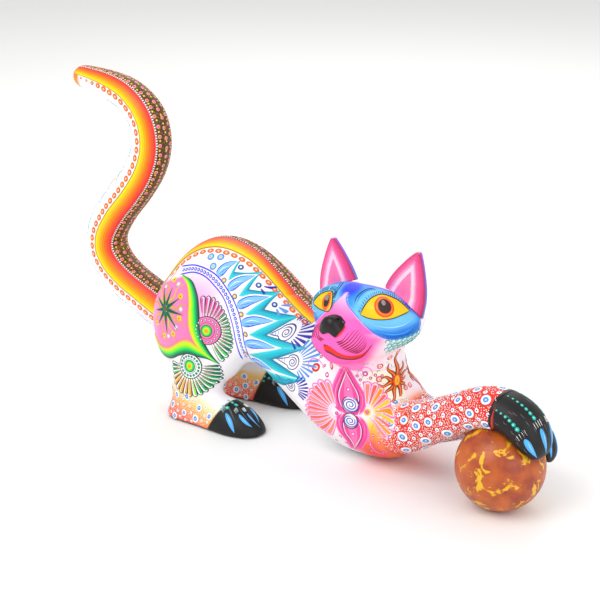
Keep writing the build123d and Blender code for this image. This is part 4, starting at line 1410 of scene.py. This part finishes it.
def haloed(brush, grid, at, radius, along, rng):
    """A white halo with a blue oval and a pale heart."""
    at = np.atleast_2d(at)
    n = len(at)
    radius, along = np.broadcast_to(radius, n), np.broadcast_to(along, n)
    brush.dot(grid, at, radius * 1.55, "white", 0.12, stretch=1.15, along=along, sides=16)
    brush.dot(grid, at, radius, "azure", 0.2, stretch=1.2, along=along, sides=14)
    brush.dot(grid, at + rng.uniform(-0.2, 0.2, at.shape), radius * 0.4, "pale_peach", 0.28,
        sides=8)


def spread(rng, low, high, pitch, allowed, taken=(), tries=9000):
    """Random points kept apart from each other and from those already taken."""
    found = [tuple(p) for p in taken]
    kept = []
    for candidate in rng.uniform(low, high, (tries, 2)):
        if allowed(candidate) and all((candidate[0] - p[0]) ** 2
                + (candidate[1] - p[1]) ** 2 > pitch ** 2 for p in found):
            found.append(tuple(candidate))
            kept.append(candidate)
    return np.array(kept).reshape(-1, 2)


LEGS = {"right_foreleg": [(199, -13.5, 41), (191, -13.5, 52), (181, -13.5, 60),
    (167, -13.5, 63.5), (153, -13, 60.5), (136, -12.5, 51.5), (116, -11.5, 41), (96, -10, 31.5),
    (78, -8, 28), (64, -4, 30)], "left_foreleg": [(190, 6.5, 27), (183, 9.5, 38),
    (173, 13, 43.5), (161, 15.5, 45.5), (148, 17, 43.5), (132, 18, 38.5), (114, 18, 32),
    (96, 17.5, 28), (78, 15.5, 27), (64, 11.5, 28)]}
for number, (name, line) in enumerate(LEGS.items()):
    rng = np.random.default_rng(31 + number)
    strokes = Brushwork(name + "_brushwork")
    rays, length = lane(line, 14.5, ([0], [23]))
    leg = Grid(figure_surface, rays)
    near_side = number == 0
    paw = 37.0 if near_side else 31.0
    shoulder = 128.0 if near_side else 120.0

    def on_leg(p, slack=0.0):
        bound = paw + 1.5 - slack < p[0] < shoulder - 0.5 * abs(p[1] - 6)
        return bound and abs(p[1]) < 44
    ovals = spread(rng, (paw, -44), (shoulder, 44), 10.2, lambda p: on_leg(p, -1.5))
    specks = spread(rng, (paw, -44), (shoulder, 44), 5.6, on_leg, [o for o in ovals])
    haloed(strokes, leg, ovals, rng.uniform(1.9, 2.5, len(ovals)),
        rng.uniform(-0.5, 0.5, len(ovals)), rng)
    strokes.dot(leg, specks, 1.5, "white", 0.12, stretch=rng.uniform(1, 1.3, len(specks)),
        along=rng.uniform(0, 3, len(specks)), sides=9)
    strokes.dot(leg, specks, 0.62, "purple", 0.22, sides=8)
    # the dashes turn round the nearest oval
    grid_s, grid_w = np.meshgrid(np.arange(paw - 1, shoulder + 8, 1.42), np.arange(-45, 45, 1.25))
    at = np.column_stack([grid_s.ravel(), grid_w.ravel()]) + rng.uniform(-0.42, 0.42,
        (grid_s.size, 2))
    gap = at[:, None] - ovals[None]
    far_off = np.linalg.norm(gap, axis=2)
    nearest = far_off.argmin(axis=1)
    clear = (far_off.min(axis=1) > 3.9) & (np.linalg.norm(at[:, None] - specks[None],
        axis=2).min(axis=1) > 2.0)
    clear &= at[:, 0] < shoulder + 8 - 0.5 * np.abs(at[:, 1] - 6)
    clear &= (at[:, 0] > paw + 0.8)
    clear &= rng.random(len(at)) > np.clip((at[:, 0] - shoulder + 14) / 26, 0, 0.8)
    toward = gap[np.arange(len(at)), nearest]
    around = np.arctan2(toward[:, 0], -toward[:, 1]) + rng.normal(0, 0.25, len(at))
    strokes.dot(leg, at[clear], 0.3, "white", 0.18, 0.14,
        stretch=rng.uniform(1.5, 2.4, clear.sum()), along=around[clear], sides=5)
    # the paw
    strokes.line(leg, [(paw + 0.6 * sin(w / 9), w) for w in np.linspace(-45, 45, 30)], 2.2,
        "black", (0.01, 0.01), 0.2)
    toes = (16, 4, -8, -21) if near_side else (16, 3, -10, -22)
    for k, w in enumerate(toes):
        line = [(q, w * (0.9 + 0.1 * (paw - q) / 17)) for q in np.linspace(paw - 1.5, 20.5, 24)]
        beads = evenly(leg, line, 3.5, 0.5 + 0.6 * (k % 2))
        size = np.linspace(0.65, 1.45, len(beads))
        strokes.dot(leg, beads, size, "turquoise", 0.14, stretch=1.15, sides=10)
        strokes.dot(leg, beads + 0.1, size * 0.45, "pale_teal", 0.22, sides=7)
        for q in range(4):
            strokes.line(leg, [(19.2, w - 2.7 + 1.8 * q), (17.6, w - 2.6 + 1.8 * q),
                (16.0, w - 2.5 + 1.8 * q)], 0.34, "white", (0.2, 0.9), 0.26)
        strokes.line(leg, [(15.2, w), (9, w + 0.4), (2.6, w)], 4.0, "claw_blue",
            shape=lambda t: np.sin(np.pi * t ** 0.7) ** 0.8 + 0.02, lift=0.3)
        strokes.line(leg, [(13.0, w - 0.3), (9, w), (5.5, w - 0.1)], 0.9, "pale_blue",
            (0.3, 0.6), lift=0.42)
    for q in range(60):
        s, w = rng.uniform(10, paw - 3), rng.uniform(-40, 40)
        strokes.line(leg, [(s, w), (s - 1.5, w + 0.2), (s - 3, w)], 0.3, "grey", (0.4, 0.6), 0.08)
    strokes.finish("figure")

# ---------------------------------------------------------------- hind feet
# White-haloed blue ovals on coral at the ankle, then glossy black toes with turquoise
# dots, brushed grey hairs and blue claws.

FEET = {"right_hind_leg": ([(-8, -25, 5), (-16, -25, 8), (-40, -25.5, 11), (-84, -26.5, 11)],
    34.0, 72.0), "left_hind_leg": ([(-12, 38, 5), (-20, 37, 8), (-44, 32, 11), (-82, 26, 11)],
    40.0, 68.0)}
ACRYLICS["graphite"] = "#57585C"
for number, (name, (line, toe_length, heel)) in enumerate(FEET.items()):
    rng = np.random.default_rng(51 + number)
    strokes = Brushwork(name + "_brushwork")
    rays, length = lane(line, 13.0, ([0], [26]))
    foot = Grid(figure_surface, rays)
    # beside the foot the ankle is reached from the side
    sides = [Grid(figure_surface, flat_rays(0, (0, 0, 0), far=number == 1)),
             Grid(figure_surface, flat_rays(0, (0, 0, 0), far=number == 0, start=-1.0))]
    for grid in sides:

        def area(p):
            return 3.0 < p[1] < 25.5 - 0.25 * (p[0] + 84) and p[0] < (-49.5 if number == 0
                else -56.5) + 0.5 * p[1]

        ovals = spread(rng, (-86, 3), (-14, 25), 7.6, area, tries=1500)
        specks = spread(rng, (-86, 3), (-14, 25), 4.1, area, [o for o in ovals], tries=2000)
        haloed(strokes, grid, ovals, rng.uniform(1.35, 1.75, len(ovals)),
            rng.uniform(0.9, 1.7, len(ovals)), rng)
        strokes.dot(grid, specks, 1.1, "white", 0.12, sides=9)
        strokes.dot(grid, specks, 0.45, "purple", 0.2, sides=7)
        grid_u, grid_v = np.meshgrid(np.arange(-88, -14, 1.5), np.arange(1.5, 27, 1.35))
        at = np.column_stack([grid_u.ravel(), grid_v.ravel()]) + rng.uniform(-0.4, 0.4,
            (grid_u.size, 2))
        if len(ovals) and len(specks):
            clear = (np.linalg.norm(at[:, None] - ovals[None], axis=2).min(axis=1) > 2.7)
            clear &= np.linalg.norm(at[:, None] - specks[None], axis=2).min(axis=1) > 1.5
            clear &= np.array([area(p) for p in at])
            strokes.dot(grid, at[clear], 0.26, "white", 0.12, 0.1,
                stretch=rng.uniform(1.3, 2.1, clear.sum()), along=rng.uniform(0, 3, clear.sum()),
                sides=5)
    for root_w, tip_w, back in ((15, 25, 11), (11, 20, 3), (2, 9, 0), (-11, -14, 3)):
        line = [(q, root_w * 0.92) for q in np.linspace(toe_length - 2,
            min(24.0 + back, toe_length - 5), 16)]
        beads = evenly(foot, line, 3.4, 0.4)
        size = np.linspace(0.8, 1.45, len(beads))
        strokes.dot(foot, beads, size, "turquoise", 0.14, stretch=1.2, sides=10)
        strokes.dot(foot, beads, size * 0.45, "pale_teal", 0.22, sides=7)

        def lead(q, across=0.0):
            return (4.5 + back + 11.5 * q, root_w + (tip_w - root_w) * (1 - q) + across)

        for q in range(5):
            strokes.line(foot, [lead(1.42, q - 2), lead(1.3, q - 2), lead(1.14, q - 2)], 0.42,
                "pearl", (0.2, 0.9), 0.24)
        strokes.line(foot, [lead(1.0), lead(0.45), lead(0.0)], 3.2, "claw_blue",
            shape=lambda t: np.sin(np.pi * t ** 0.7) ** 0.8 + 0.02, lift=0.3)
        strokes.line(foot, [lead(0.8, -0.2), lead(0.5), lead(0.3)], 0.8, "pale_blue", (0.3, 0.6),
            lift=0.42)
        strokes.line(foot, [lead(1.35, -5), lead(0.9, -5), lead(0.3, -4)], 1.3, "graphite",
            (0.5, 0.5), 0.1)
    strokes.finish("figure")
